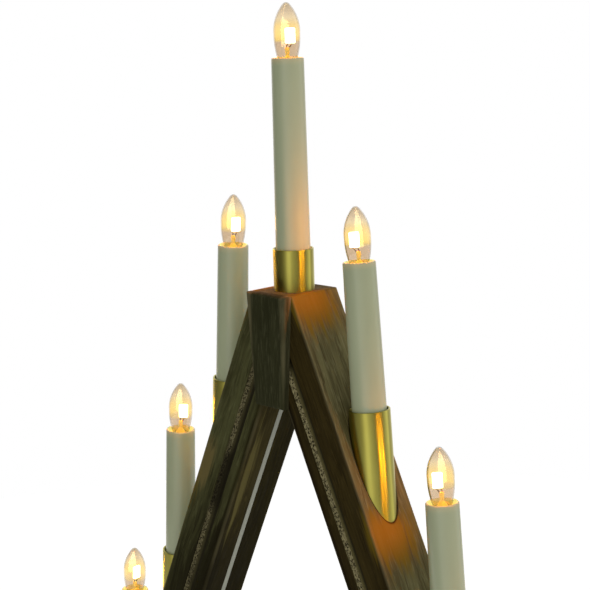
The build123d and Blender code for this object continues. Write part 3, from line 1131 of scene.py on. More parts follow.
def lining_tree() -> GeometryTree:
    """The flute's torn surface: a sheet bent into the flute, rippled by the cutter.

    Returns:
        The tree.
    """
    desk = GeometryTree("flute_lining")
    length = desk.number("Length", 0.4)
    radius = desk.number("Radius", 4.0 * MM)
    ripple = desk.number("Ripple", 0.25 * MM)
    pitch = desk.number("Chatter Pitch", 3.0 * MM)
    lean = desk.number("Lean", 0.0)
    seed = desk.number("Seed", 1.0)
    foot = desk.vector("Foot")
    grid = desk.add("GeometryNodeMeshGrid")
    for index, value in enumerate((1.0, 1.0, desk.count("Columns", 13), desk.count("Rows", 700))):
        desk.feed(grid.inputs[index], value)
    around, onward, _ = desk.parts(desk.add("GeometryNodeInputPosition").outputs[0])
    turn = desk.math("MULTIPLY", around, LINING_SWEEP)
    along = desk.math("MULTIPLY", desk.math("ADD", onward, 0.5), length)
    torn = desk.add("ShaderNodeTexNoise", noise_dimensions="4D")
    where = desk.add("ShaderNodeCombineXYZ")
    desk.feed(where.inputs[0], desk.math("MULTIPLY", turn, TEAR_AROUND))
    desk.feed(where.inputs[1], desk.math("MULTIPLY", along, TEAR_ALONG))
    desk.feed(torn.inputs["Vector"], where.outputs[0])
    desk.feed(torn.inputs["W"], seed)
    desk.feed(torn.inputs["Scale"], 1.0)
    desk.feed(torn.inputs["Detail"], 3.0)
    phase = desk.math("DIVIDE", desk.math("MULTIPLY", along, FULL_TURN), pitch)
    drift = desk.math("MULTIPLY", torn.outputs[0], CHATTER_DRIFT)
    tick = desk.math("SINE", desk.math("ADD", phase, drift))
    rough = desk.math("ADD", torn.outputs[0], desk.math("MULTIPLY", tick, CHATTER_SHARE))
    steep = desk.math("ABSOLUTE", desk.math("SINE", turn))
    rough = desk.math("MULTIPLY", desk.math("MAXIMUM", rough, TEAR_LEAST),
                      desk.math("ADD", steep, TEAR_AT_FLOOR))
    reach = desk.math("SUBTRACT", radius, desk.math("MULTIPLY", rough, ripple))
    bent = desk.add("ShaderNodeCombineXYZ")
    desk.feed(bent.inputs[0], desk.math("MULTIPLY", reach, desk.math("SINE", turn)))
    desk.feed(bent.inputs[1], desk.math("MULTIPLY", reach, desk.math("COSINE", turn)))
    desk.feed(bent.inputs[2], along)
    leant = desk.add("ShaderNodeVectorRotate", rotation_type="Y_AXIS")
    desk.feed(leant.inputs["Vector"], bent.outputs[0])
    desk.feed(leant.inputs["Angle"], lean)
    placed = desk.vector_math("ADD", leant.outputs[0], foot)
    moved = desk.add("GeometryNodeSetPosition")
    desk.feed(moved.inputs["Position"], placed.outputs[0])
    marked = desk.add("GeometryNodeStoreNamedAttribute", data_type="FLOAT", domain="POINT")
    desk.feed(marked.inputs["Geometry"], grid.outputs[0])
    desk.feed(marked.inputs["Name"], ACROSS)
    desk.feed(marked.inputs["Value"], desk.math("SINE", turn))
    desk.feed(moved.inputs["Geometry"], marked.outputs[0])
    smooth = desk.add("GeometryNodeSetShadeSmooth")
    desk.feed(smooth.inputs["Geometry"], moved.outputs[0])
    desk.finish(smooth.outputs[0])
    return desk


def thread_tree() -> GeometryTree:
    """A rolled screw thread: a round wire wound on a spiral.

    Returns:
        The tree.
    """
    desk = GeometryTree("rolled_thread")
    turns = desk.number("Turns", 3.5)
    spiral = desk.add("GeometryNodeCurveSpiral")
    radius = desk.number("Radius", 4.5 * MM)
    for label, value in (("Resolution", desk.count("Steps", 28)), ("Rotations", turns),
                         ("Start Radius", radius),
                         ("End Radius", radius), ("Height", desk.number("Height", 6.0 * MM))):
        desk.feed(spiral.inputs[label], value)
    ridge = desk.add("GeometryNodeCurvePrimitiveCircle")
    desk.feed(ridge.inputs["Resolution"], 8)
    desk.feed(ridge.inputs["Radius"], desk.number("Ridge", 0.5 * MM))
    swept = desk.add("GeometryNodeCurveToMesh")
    desk.feed(swept.inputs["Curve"], spiral.outputs[0])
    desk.feed(swept.inputs["Profile Curve"], ridge.outputs[0])
    desk.feed(swept.inputs["Fill Caps"], True)
    lean = desk.add("ShaderNodeCombineXYZ")
    desk.feed(lean.inputs[1], desk.number("Lean", 0.0))
    placed = desk.add("GeometryNodeTransform")
    desk.feed(placed.inputs["Geometry"], swept.outputs[0])
    desk.feed(placed.inputs["Translation"], desk.vector("Foot"))
    desk.feed(placed.inputs["Rotation"], lean.outputs[0])
    desk.finish(placed.outputs[0])
    return desk


def cable_tree() -> GeometryTree:
    """A round sheath or wire along the curve that the tree is given.

    Returns:
        The tree.
    """
    desk = GeometryTree("round_along_path")
    rounded = desk.add("GeometryNodeFilletCurve", mode="POLY")
    desk.feed(rounded.inputs["Curve"], desk.inputs.outputs[0])
    desk.feed(rounded.inputs["Count"], desk.count("Bend Steps", 12))
    desk.feed(rounded.inputs["Radius"], desk.number("Bend", 10.0 * MM))
    desk.feed(rounded.inputs["Limit Radius"], True)
    ring = desk.add("GeometryNodeCurvePrimitiveCircle")
    desk.feed(ring.inputs["Resolution"], desk.count("Sides", 20))
    desk.feed(ring.inputs["Radius"], desk.number("Radius", 1.0 * MM))
    swept = desk.add("GeometryNodeCurveToMesh")
    desk.feed(swept.inputs["Curve"], rounded.outputs[0])
    desk.feed(swept.inputs["Profile Curve"], ring.outputs[0])
    desk.feed(swept.inputs["Fill Caps"], True)
    smooth = desk.add("GeometryNodeSetShadeSmooth")
    desk.feed(smooth.inputs["Geometry"], swept.outputs[0])
    desk.finish(smooth.outputs[0])
    return desk


def flat_wire_tree() -> GeometryTree:
    """A flat wire with rounded edges along the curve that the tree is given.

    Returns:
        The tree.
    """
    desk = GeometryTree("flat_along_path")
    rounded = desk.add("GeometryNodeFilletCurve", mode="POLY")
    desk.feed(rounded.inputs["Curve"], desk.inputs.outputs[0])
    desk.feed(rounded.inputs["Count"], desk.count("Bend Steps", 12))
    desk.feed(rounded.inputs["Radius"], desk.number("Bend", 10.0 * MM))
    desk.feed(rounded.inputs["Limit Radius"], True)
    square = desk.add("GeometryNodeSetCurveNormal", mode="FREE")
    desk.feed(square.inputs["Curve"], rounded.outputs[0])
    desk.feed(square.inputs["Normal"], (0.0, 1.0, 0.0))
    section = desk.add("GeometryNodeCurvePrimitiveQuadrilateral", mode="RECTANGLE")
    desk.feed(section.inputs["Width"], desk.number("Width", 4.0 * MM))
    desk.feed(section.inputs["Height"], desk.number("Thickness", 2.0 * MM))
    eased = desk.add("GeometryNodeFilletCurve", mode="POLY")
    desk.feed(eased.inputs["Curve"], section.outputs[0])
    desk.feed(eased.inputs["Count"], 5)
    desk.feed(eased.inputs["Radius"], desk.number("Edge", 0.6 * MM))
    swept = desk.add("GeometryNodeCurveToMesh")
    desk.feed(swept.inputs["Curve"], square.outputs[0])
    desk.feed(swept.inputs["Profile Curve"], eased.outputs[0])
    desk.feed(swept.inputs["Fill Caps"], True)
    desk.finish(swept.outputs[0])
    return desk


def path_data(name: str, routes: Sequence[Sequence[Point]]) -> bpy.types.Curve:
    """Curve data with one straight-run spline for each route.

    Args:
        name: Name of the data.
        routes: Points of each route.

    Returns:
        The curve data.
    """
    data = bpy.data.curves.new(name, "CURVE")
    data.dimensions = "3D"
    for route in routes:
        spline = data.splines.new("POLY")
        spline.points.add(len(route) - 1)
        for point, place in zip(spline.points, route):
            point.co = (*place, 1.0)
    return data


def dress(node: str, material: bpy.types.Material) -> None:
    """Gives a node of the frame its finish.

    Args:
        node: Name of the node.
        material: The finish.
    """
    obj = frame["nodes"][node]
    if not obj.material_slots:
        obj.data.materials.append(material)
    for slot in obj.material_slots:
        slot.material = material
    LOG.info("dressed %s with %s", node, material.name)


def stand_for(obj: bpy.types.Object, body: str, slot: str, *nodes: str) -> None:
    """Hands a finished piece to the frame.

    Args:
        obj: The piece.
        body: Body that it moves with.
        slot: Finish slot of the record; not used.
        *nodes: Nodes of the frame that it stands for.
    """
    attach(obj, body)
    if nodes:
        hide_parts(*nodes)
    LOG.info("%s rides on %s", obj.name, body)


@dataclass(frozen=True)
class CandleFinishes:
    """The finishes that all candles share."""

    brass: bpy.types.Material
    ivory: bpy.types.Material
    dish: bpy.types.Material
    nickel: bpy.types.Material
    glass: bpy.types.Material
    plate: bpy.types.Material
    stem: bpy.types.Material
    lead: bpy.types.Material
    socket: bpy.types.Material
    contact: bpy.types.Material

    @classmethod
    def make(cls) -> "CandleFinishes":
        """Makes each finish once."""
        return cls(brass=BrassFinish().material("brushed_brass"),
                   ivory=IvoryFinish().material("satin_ivory"),
                   dish=DishFinish().material("glowing_dish"), nickel=NICKEL.material("rolled_nickel"),
                   glass=GlassFinish().material("clear_glass"), plate=LIT_PLATE.material("lit_plate"),
                   stem=STEM_GLASS.material("lit_stem"), lead=LEAD_WIRE.material("lead_wire"),
                   socket=SOCKET_PLASTIC.material("socket_plastic"),
                   contact=CONTACT_BRASS.material("contact_brass"))


@dataclass
class Candle:
    """One candle: brass sleeve, tapered tube, socket, contact and screw-in bulb.

    Places along a candle are heights over the rim of its tube.
    """

    name: str
    finishes: CandleFinishes
    brass_pieces: bpy.types.Collection
    tube_top_radius: float = 9.25 * MM
    tube_bore_radius: float = 8.0 * MM
    tube_edge: float = 1.0 * MM
    dish_rim_radius: float = 7.9 * MM
    dish_edge: float = 0.35 * MM
    dish_depth: float = 4.0 * MM
    deck_hole_radius: float = 5.35 * MM
    deck_depth: float = 9.0 * MM
    sleeve_wall: float = 1.0 * MM
    side_hole_radius: float = 2.0 * MM
    top_hole_radius: float = 4.0 * MM
    sleeve_edge: float = 0.3 * MM
    thread_pitch: float = 1.814 * MM
    thread_ridge: float = 0.45 * MM
    thread_relief: float = 0.06 * MM
    cap_cone_height: float = 1.5 * MM
    cap_tip_height: float = 1.0 * MM
    cap_tip_radius: float = 2.0 * MM
    cap_cone_radius: float = 4.2 * MM
    glass_wall: float = 0.6 * MM
    neck_share: float = 1.08
    waist_shares: RingPoint = (0.902, 0.13)
    belly_share: float = 0.42
    shoulder_shares: RingPoint = (0.90, 0.674)
    tip_radius: float = 2.4 * MM
    tip_start: float = 40.0
    stem_waist_radius: float = 1.0 * MM
    stem_top_radius: float = 1.4 * MM
    stem_height: float = 8.0 * MM
    post_spread: float = 3.0 * MM
    post_radius: float = 0.35 * MM
    post_sink: float = 1.0 * MM
    plate_gap: float = 2.3 * MM
    plate_trim: float = 0.8 * MM
    plate_width: float = 5.7 * MM
    plate_thickness: float = 1.2 * MM
    plate_corner: float = 0.8 * MM
    plate_offset: float = 1.8 * MM
    plate_turn: float = 45.0
    lamp_power: float = 0.050
    lamp_colour: Colour = (1.0, 0.22, 0.0)
    lamp_radius: float = 4.5 * MM
    glint_power: float = 0.29
    glint_radius: float = 9.5 * MM
    glint_colour: Colour = (1.0, 0.43, 0.005)
    wash_power: float = 0.135
    wash_colour: Colour = (1.0, 0.215, 0.0)
    wash_drop: float = 52.0
    wash_forward: float = 10.0
    wash_cone: float = 56.0

    def __post_init__(self) -> None:
        """Reads the candle's place and lean from the joint that its bulb turns on."""
        joint = next(joint for joint in frame["joints"] if joint["name"] == f"turn_{self.name}")
        axis = Vector(joint["axis"])
        self.lean = math.atan2(axis.x, axis.z)
        self.place = Matrix.Translation(joint["pos_m"]) @ Matrix.Rotation(self.lean, 4, "Y")

    @staticmethod
    def measured(kind: str) -> tuple[float, float, float]:
        """Sizes of a turned piece, read from the candle that stands upright.

        Args:
            kind: Which piece.

        Returns:
            Its radius, and the heights of its foot and top over the tube's rim.
        """
        low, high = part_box(f"{kind}_{UPRIGHT_CANDLE}")
        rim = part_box(f"tube_{UPRIGHT_CANDLE}")[1].z
        return (high.x - low.x) / 2, low.z - rim, high.z - rim

    def spot(self, out: float, deep: float, height: float) -> Point:
        """A place in the candle's own leaning frame, given in the arch's frame."""
        return tuple(self.place @ Vector((out, deep, height)))

    def build(self, threads: GeometryTree, wires: GeometryTree) -> None:
        """Makes and hands over every piece of the candle.

        Args:
            threads: Tree of the screw thread.
            wires: Tree of the lead wires.
        """
        self.sleeve()
        self.tube()
        self.cap(threads)
        self.glass()
        self.mount(wires)
        dress(f"socket_{self.name}", self.finishes.socket)
        dress(f"contact_{self.name}", self.finishes.contact)

    def turning(self, name: str, stretches: Sequence[tuple[int, Sequence[RingPoint]]],
                materials: Sequence[bpy.types.Material], **options: object) -> bpy.types.Object:
        """A piece turned about the candle's axis, with heights over its rim."""
        return Turning(f"{name}_{self.name}", self.place, stretches, materials, **options).build()

    def sleeve(self) -> None:
        """The brass tube with its rounded rim and pierced floor."""
        outer = self.measured("sleeve")[0]
        inner, edge = outer - self.sleeve_wall, self.sleeve_edge
        low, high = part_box(f"sleeve_{self.name}")
        tilt = abs(self.lean)
        length = (high.z - low.z - 2.0 * outer * math.sin(tilt)) / math.cos(tilt)
        floor = self.measured("tube")[1]
        foot = floor - self.sleeve_wall
        rim = foot + length
        hole = self.top_hole_radius if self.name == UPRIGHT_CANDLE else self.side_hole_radius
        outline = [(hole, foot), (outer, foot)]
        outline += quarter((outer - edge, rim - edge), edge, 0.0)
        outline += quarter((inner + edge, rim - edge), edge, 90.0)
        outline += [(inner, floor), (hole, floor)]
        piece = self.turning("sleeve_shell", [(0, outline)], [self.finishes.brass])
        self.brass_pieces.objects.link(piece)
        stand_for(piece, ROOT_BODY, "brass", f"sleeve_{self.name}")

    def tube(self) -> None:
        """The ivory tube: taper, rounded rim, glowing dish, deck and bore."""
        foot_radius, foot, _ = self.measured("tube")
        edge, lip = self.tube_edge, self.dish_edge
        taper = [(foot_radius, foot)] + quarter((self.tube_top_radius - edge, -edge), edge, 0.0)
        dish = [taper[-1]] + quarter((self.dish_rim_radius + lip, -lip), lip, 90.0, 55.0, 4)
        dish += [(self.deck_hole_radius, -self.dish_depth), (self.deck_hole_radius, -self.deck_depth)]
        inside = [dish[-1], (self.tube_bore_radius, -self.deck_depth), (self.tube_bore_radius, foot)]
        piece = self.turning("tube_shell", [(0, taper), (1, dish), (0, inside)],
                             [self.finishes.ivory, self.finishes.dish], segments=128)
        stand_for(piece, ROOT_BODY, "ivory_plastic", f"tube_{self.name}")

    def cap(self, threads: GeometryTree) -> None:
        """The bulb's screw cap and its rolled thread.

        Args:
            threads: Tree of the screw thread.
        """
        outer, foot, top = self.measured("bulb_cap")
        core = outer - self.thread_ridge
        cone = foot + self.cap_tip_height
        shell = cone + self.cap_cone_height
        outline = [(0.0, foot), (self.cap_tip_radius, foot), (self.cap_tip_radius, cone),
                   (self.cap_cone_radius, shell), (core, shell), (core, top), (0.0, top)]
        piece = self.turning("cap_shell", [(0, outline)], [self.finishes.nickel], closed=False, segments=64)
        stand_for(piece, f"bulb_{self.name}", "cap_metal", f"bulb_cap_{self.name}")
        turns = math.floor((top - shell) / self.thread_pitch) - 0.5
        thread = threads.run(f"cap_thread_{self.name}", {
            "Turns": turns, "Radius": core, "Height": turns * self.thread_pitch, "Steps": 40,
            "Ridge": self.thread_ridge - self.thread_relief, "Finish": self.finishes.nickel,
            "Lean": self.lean,
            "Foot": self.spot(0.0, 0.0, shell + self.thread_ridge)})
        stand_for(thread, f"bulb_{self.name}", "cap_metal")

    def glass_outline(self, wall: float) -> list[RingPoint]:
        """The pointed bulb from its neck to its tip, drawn in by a wall.

        Args:
            wall: How far inside the outer face.

        Returns:
            Points in order.
        """
        belly, foot, tall = self.measured("bulb_glass")
        neck = (self.measured("bulb_cap")[0] * self.neck_share - wall, foot)
        waist = (belly * self.waist_shares[0] - wall, tall * self.waist_shares[1])
        wide = (belly - wall, tall * self.belly_share)
        shoulder = (belly * self.shoulder_shares[0] - wall, tall * self.shoulder_shares[1])
        tip = quarter((0.0, tall - self.tip_radius), self.tip_radius - wall, self.tip_start,
                      90.0 - self.tip_start, 7)
        tip[-1] = (0.0, tall - wall)
        return arc_through(neck, waist, wide, 20)[:-1] + arc_through(wide, shoulder, tip[0], 26)[:-1] + tip

    def glass(self) -> None:
        """The blown glass, a thin closed wall."""
        inside = list(reversed(self.glass_outline(self.glass_wall)))
        outline = inside + self.glass_outline(0.0)
        piece = self.turning("glass_shell", [(0, outline)], [self.finishes.glass],
                             closed=False, crease=60.0)
        piece.visible_shadow = False
        stand_for(piece, f"bulb_{self.name}", "bulb_glass", f"bulb_glass_{self.name}")

    def mount(self, wires: GeometryTree) -> None:
        """Glass stem, the two wires on it and the lit plate that they carry.

        Args:
            wires: Tree of the lead wires.
        """
        foot_radius, foot, top = self.measured("bulb_filament")
        head = foot + self.stem_height
        start = head + self.plate_gap
        stem = [(0.0, foot), (foot_radius, foot), (self.stem_waist_radius, foot + 0.45 * self.stem_height),
                (self.stem_top_radius, head - self.stem_top_radius),
                (self.stem_top_radius * 0.8, head), (0.0, head)]
        pieces = [self.turning("stem", [(0, stem)], [self.finishes.stem], closed=False, segments=48)]
        turned = self.place @ Matrix.Rotation(math.radians(self.plate_turn), 4, "Z")
        pieces.append(self.plate(turned, start, top - self.plate_trim))
        ends = ((0.2, 0.0, head - self.post_sink), (0.5, self.plate_offset, start + self.post_sink))
        routes = [[tuple(turned @ Vector((sign * share * self.post_spread + out, 0.0, height)))
                   for share, out, height in ends] for sign in (-1, 1)]
        pieces.append(wires.run(f"lead_wires_{self.name}",
                                {"Radius": self.post_radius, "Sides": 10, "Finish": self.finishes.lead},
                                path_data(f"lead_path_{self.name}", routes)))
        for piece in pieces:
            piece.visible_shadow = False
            stand_for(piece, f"bulb_{self.name}", "filament", f"bulb_filament_{self.name}")

    def plate(self, turned: Matrix, start: float, top: float) -> bpy.types.Object:
        """The lit plate, a thin slab with rounded corners.

        Args:
            turned: Place of the bulb, turned to the plate.
            start: Height of the plate's lower edge.
            top: Height of its upper edge.

        Returns:
            The plate.
        """
        half, round_off = self.plate_width / 2, self.plate_corner
        corners = ((half, top, 0.0), (-half, top, 90.0), (-half, start, 180.0), (half, start, 270.0))
        outline = []
        for out, height, turn in corners:
            centre = (out - math.copysign(round_off, out),
                      height - round_off if height == top else height + round_off)
            outline += quarter(centre, round_off, turn)
        mesh = bpy.data.meshes.new(f"lit_plate_{self.name}")
        work = bmesh.new()
        back = self.plate_thickness / 2
        ring = [work.verts.new((out + self.plate_offset, -back, height)) for out, height in outline]
        face = work.faces.new(ring)
        grown = bmesh.ops.extrude_face_region(work, geom=[face])
        verts = [item for item in grown["geom"] if isinstance(item, bmesh.types.BMVert)]
        bmesh.ops.translate(work, verts=verts, vec=(0.0, self.plate_thickness, 0.0))
        bmesh.ops.recalc_face_normals(work, faces=work.faces)
        work.to_mesh(mesh)
        work.free()
        mesh.transform(turned)
        mesh.materials.append(self.finishes.plate)
        return linked(mesh.name, mesh)

    def light(self, kind: str, source: str, power: float, colour: Colour) -> bpy.types.Object:
        """A warm light at the middle of the lit plate, which the camera doesn't see.

        Args:
            kind: What the light is for.
            source: Blender's name for the type of light.
            power: Its power.
            colour: Its colour.

        Returns:
            The light.
        """
        _, foot, top = self.measured("bulb_filament")
        data = bpy.data.lights.new(f"{kind}_{self.name}", source)
        data.energy = power
        data.color = colour
        data.shadow_soft_size = self.lamp_radius
        obj = linked(data.name, data)
        obj.location = self.spot(0.0, 0.0, (foot + self.stem_height + self.plate_gap + top) / 2)
        obj.visible_camera = False
        obj.visible_transmission = False
        return obj

    def lamps(self) -> None:
        """The bulb's glow on matt pieces, its glint in brass and its wash down on the arm."""
        glow = self.light("glow", "POINT", self.lamp_power, self.lamp_colour)
        glow.visible_glossy = False
        glint = self.light("glint", "POINT", self.glint_power, self.glint_colour)
        glint.visible_diffuse = False
        glint.data.shadow_soft_size = self.glint_radius
        glint.light_linking.receiver_collection = self.brass_pieces
        if self.name == UPRIGHT_CANDLE:
            return
        wash = self.light("wash", "SPOT", self.wash_power, self.wash_colour)
        wash.visible_glossy = False
        wash.data.spot_size = math.radians(self.wash_cone)
        wash.data.spot_blend = 1.0
        drop, forward = math.radians(self.wash_drop), math.radians(self.wash_forward)
        inward = -math.copysign(math.cos(drop), wash.location.x)
        aim = Vector((inward, -math.sin(forward), -math.sin(drop)))
        wash.rotation_euler = aim.to_track_quat("-Z", "Y").to_euler()


@dataclass
class WoodFrame:
    """The wooden arch: two leaning arms, keystone plate, base plank and fastenings."""

    arm_width: float = 33.5 * MM
    flute_shares: RingPoint = (0.26, 0.50)
    flute_gap: float = 0.03 * MM
    ripple: float = 0.42 * MM
    lining_wall: float = 0.12 * MM
    lining_end_gap: float = 0.4 * MM
    plate_edge_share: float = 0.42
    # The left arm's front faces take lighter painted shade than the right one's.
    left_painted_face_shade: Colour = (0.54, 0.61, 0.53)
    # Painted lamp glow on the outer faces, at the apex and under each candle.
    warm_tone: Colour = (0.200, 0.132, 0.010)
    warm_share: float = 0.88
    warm_half: Point = (6.0 * MM, 25.0 * MM, 25.0 * MM)
    warm_depth: float = -0.3
    apex_warm: float = 231.0 * MM
    first_warm: float = 91.0 * MM

    def __post_init__(self) -> None:
        """Works out the arms' lean and corners from the frame's boxes."""
        self.arm_low, self.arm_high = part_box("right_arm")
        self.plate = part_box("apex_block")
        self.arm_depth = self.arm_high.y - self.arm_low.y
        self.lean = math.atan2(self.arm_high.x - self.plate[1].x, self.arm_high.z - self.arm_low.z)

    def arm_point(self, inset: float, z: float, side: Side) -> Point:
        """A place on an arm in the middle of its depth.

        Args:
            inset: Distance from the inner face.
            z: Height.
            side: Which arm.

        Returns:
            The place.
        """
        outer = self.arm_high.x - (z - self.arm_low.z) * math.tan(self.lean)
        return (side.value * (outer - (self.arm_width - inset) / math.cos(self.lean)), 0.0, z)

    def build(self) -> None:
        """Dresses the boards and fastenings and lines both flutes."""
        for side in Side:
            self.dress_arm(side)
            self.line_flute(side)
        low, high = self.plate
        block = Board(tuple((low + high) / 2), (high.x - low.x) * self.plate_edge_share,
                      (high.y - low.y) / 2, 0.0, Grain.UPRIGHT)
        block_finish = WoodFinish(dark=(0.028, 0.028, 0.011), mid=(0.048, 0.049, 0.020),
                                  pale=(0.135, 0.135, 0.072), painted_face_shade=WHITE,
                                  streaks=replace(WoodFinish.streaks, share=0.5),
                                  flecks=replace(WoodFinish.flecks, share=0.32),
                                  edge=3.2 * MM, edge_share=0.45)
        dress("apex_block", block_finish.material("stained_plate", block, 0.9))
        low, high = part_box("base")
        plank = Board(tuple((low + high) / 2), (high.z - low.z) / 2, (high.y - low.y) / 2, 0.0,
                      Grain.LENGTHWISE)
        dress("base", WoodFinish().material("stained_plank", plank, 2.1))
        for node, finish in (("felt_pads", FELT), ("base_screws", STEEL), ("apex_dowels", DOWEL)):
            dress(node, finish.material(node))

    def dress_arm(self, side: Side) -> None:
        """Gives one arm its stained wood.

        Args:
            side: Which arm.
        """
        middle = self.arm_point(self.arm_width / 2, (self.arm_low.z + self.arm_high.z) / 2, side)
        board = Board(middle, self.arm_width / 2, self.arm_depth / 2, math.degrees(self.lean) * side.value,
                      Grain.ALONG_ARM, -side.value, self.patches(side), self.holes(side),
                      self.arm_high.z)
        name = side.name.lower()
        finish = WoodFinish() if side is Side.RIGHT else WoodFinish(painted_face_shade=self.left_painted_face_shade)
        dress(f"{name}_arm", finish.material(f"stained_{name}_arm", board, 0.35 * side.value))

    def patches(self, side: Side) -> tuple[StainAndPaintedLightPatch, ...]:
        """Painted lamp glow on the outer face at the apex and under each candle, and the left arm's own
        patches.

        Args:
            side: Which arm.

        Returns:
            The patches of that arm.
        """
        holes = self.holes(side)
        step = (Vector(holes[0].place) - Vector(holes[1].place)).length
        places = [self.apex_warm] + [self.first_warm - step * index for index in range(len(holes))]
        # Patches of painted lamp glow.
        warm = tuple(StainAndPaintedLightPatch((side.value, self.warm_depth, along), self.warm_half, self.warm_tone,
                                self.warm_share) for along in places)
        return warm if side is Side.RIGHT else warm + LEFT_ARM_PATCHES

    @staticmethod
    def holes(side: Side) -> tuple[DrilledHole, ...]:
        """The drillings for the sleeves of one arm.

        Args:
            side: Which arm.

        Returns:
            The drillings.
        """
        name = f"turn_{side.name.lower()}_"
        joints = [joint for joint in frame["joints"] if joint["name"].startswith(name)]
        radius = Candle.measured("sleeve")[0]
        return tuple(DrilledHole(tuple(joint["pos_m"]), tuple(joint["axis"]), radius) for joint in joints)

    def line_flute(self, side: Side) -> None:
        """Lays the torn lining into one arm's flute.

        Args:
            side: Which arm.
        """
        inner, outer = (share * self.arm_width for share in self.flute_shares)
        low = self.arm_low.z + self.lining_end_gap + (outer - inner) / 2 * math.sin(self.lean)
        high = (self.plate[0].z + self.plate[1].z) / 2
        foot = self.arm_point((inner + outer) / 2, low, side)
        name = side.name.lower()
        piece = lining_tree().run(f"flute_lining_{name}", {
            "Length": (high - low) / math.cos(self.lean),
            "Radius": (outer - inner) / 2 - self.flute_gap - self.lining_wall,
            "Ripple": self.ripple, "Lean": -self.lean * side.value, "Seed": float(side.value),
            "Foot": (foot[0], -self.arm_depth / 2, foot[2]), "Columns": 15, "Rows": 760,
            "Finish": self.flute_finish(side).material(f"torn_flute_{name}")})
        self.thicken(piece)
        stand_for(piece, ROOT_BODY, "stained_wood")

    @staticmethod
    def flute_finish(side: Side) -> FluteFinish:
        """The left arm's flute has darker tones than the right one's and a band of painted shade around one
        height.
        """
        if side is Side.RIGHT:
            return FluteFinish()
        return FluteFinish(dark=(0.026, 0.022, 0.009), floor=(0.105, 0.092, 0.038),
                           torn=(0.330, 0.290, 0.150), stain_middle=340.0 * MM, shade_band_half=27.0 * MM)

    def thicken(self, piece: bpy.types.Object) -> None:
        """Turns the lining's face outward and gives it a wall behind.

        Args:
            piece: The lining.
        """
        mesh = piece.data
        if sum(polygon.normal.y * polygon.area for polygon in mesh.polygons) > 0.0:
            mesh.flip_normals()
        wall = piece.modifiers.new("Wall", "SOLIDIFY")
        wall.thickness = self.lining_wall
        wall.offset = -1.0


@dataclass
class Wiring:
    """The flat wire of each arm, with a lead up into every candle."""

    wood: WoodFrame
    groove_depth: float = 2.5 * MM
    lift: float = 0.1 * MM
    thickness: float = 2.2 * MM
    width: float = 4.1 * MM
    edge: float = 0.35 * MM
    end_gap: float = 6.0 * MM
    pair_offset: float = 1.8 * MM
    socket_foot: float = -20.0 * MM
    bend: float = 14.0 * MM

    def build(self, candles: Sequence[Candle], leads: GeometryTree) -> None:
        """Lays the wires of both arms.

        Args:
            candles: All candles, the top one first.
            leads: Tree of a round lead.
        """
        sheath = SHEATH.material("grey_sheath")
        flat = flat_wire_tree()
        for side in Side:
            name = side.name.lower()
            run = flat.run(f"flat_wire_{name}",
                           {"Width": self.width, "Thickness": self.thickness, "Edge": self.edge,
                            "Bend": self.bend, "Finish": sheath},
                           path_data(f"wire_path_{name}", [self.run_route(candles[0], side)]))
            routes = [self.riser(candle, side) for candle in candles if candle.name.startswith(name)]
            risers = leads.run(f"wire_leads_{name}",
                               {"Radius": self.thickness / 2, "Sides": 20, "Finish": sheath},
                               path_data(f"lead_paths_{name}", routes))
            for piece in (run, risers):
                stand_for(piece, ROOT_BODY, "wire_sheath", f"wire_{name}")

    def depth(self) -> float:
        """How far the wire's middle lies behind the arm's inner face."""
        return self.groove_depth - self.lift - self.thickness / 2

    def run_route(self, top: Candle, side: Side) -> list[Point]:
        """From the top candle's socket down its drilling and along the groove.

        Args:
            top: The top candle.
            side: Which arm.

        Returns:
            Points of the route.
        """
        out = side.value * self.pair_offset
        foot = self.wood.arm_point(self.depth(), self.wood.arm_low.z, Side.RIGHT)
        turn_height = foot[2] + (foot[0] - self.pair_offset) / math.tan(self.wood.lean)
        end = self.wood.arm_point(self.depth(), self.wood.arm_low.z + self.end_gap, side)
        return [(out, 0.0, top.spot(0.0, 0.0, self.socket_foot)[2]), (out, 0.0, turn_height), end]

    def riser(self, candle: Candle, side: Side) -> list[Point]:
        """From the groove up the candle's own axis into its socket.

        Args:
            candle: The candle.
            side: Which arm.

        Returns:
            Points of the route.
        """
        rim = candle.place.translation
        groove = self.wood.arm_point(self.depth(), rim.z, side)
        slope = math.cos(candle.lean) * math.tan(self.wood.lean) - math.sin(abs(candle.lean))
        height = (side.value * groove[0] - abs(rim.x)) / slope
        return [candle.spot(0.0, 0.0, height), candle.spot(0.0, 0.0, self.socket_foot)]


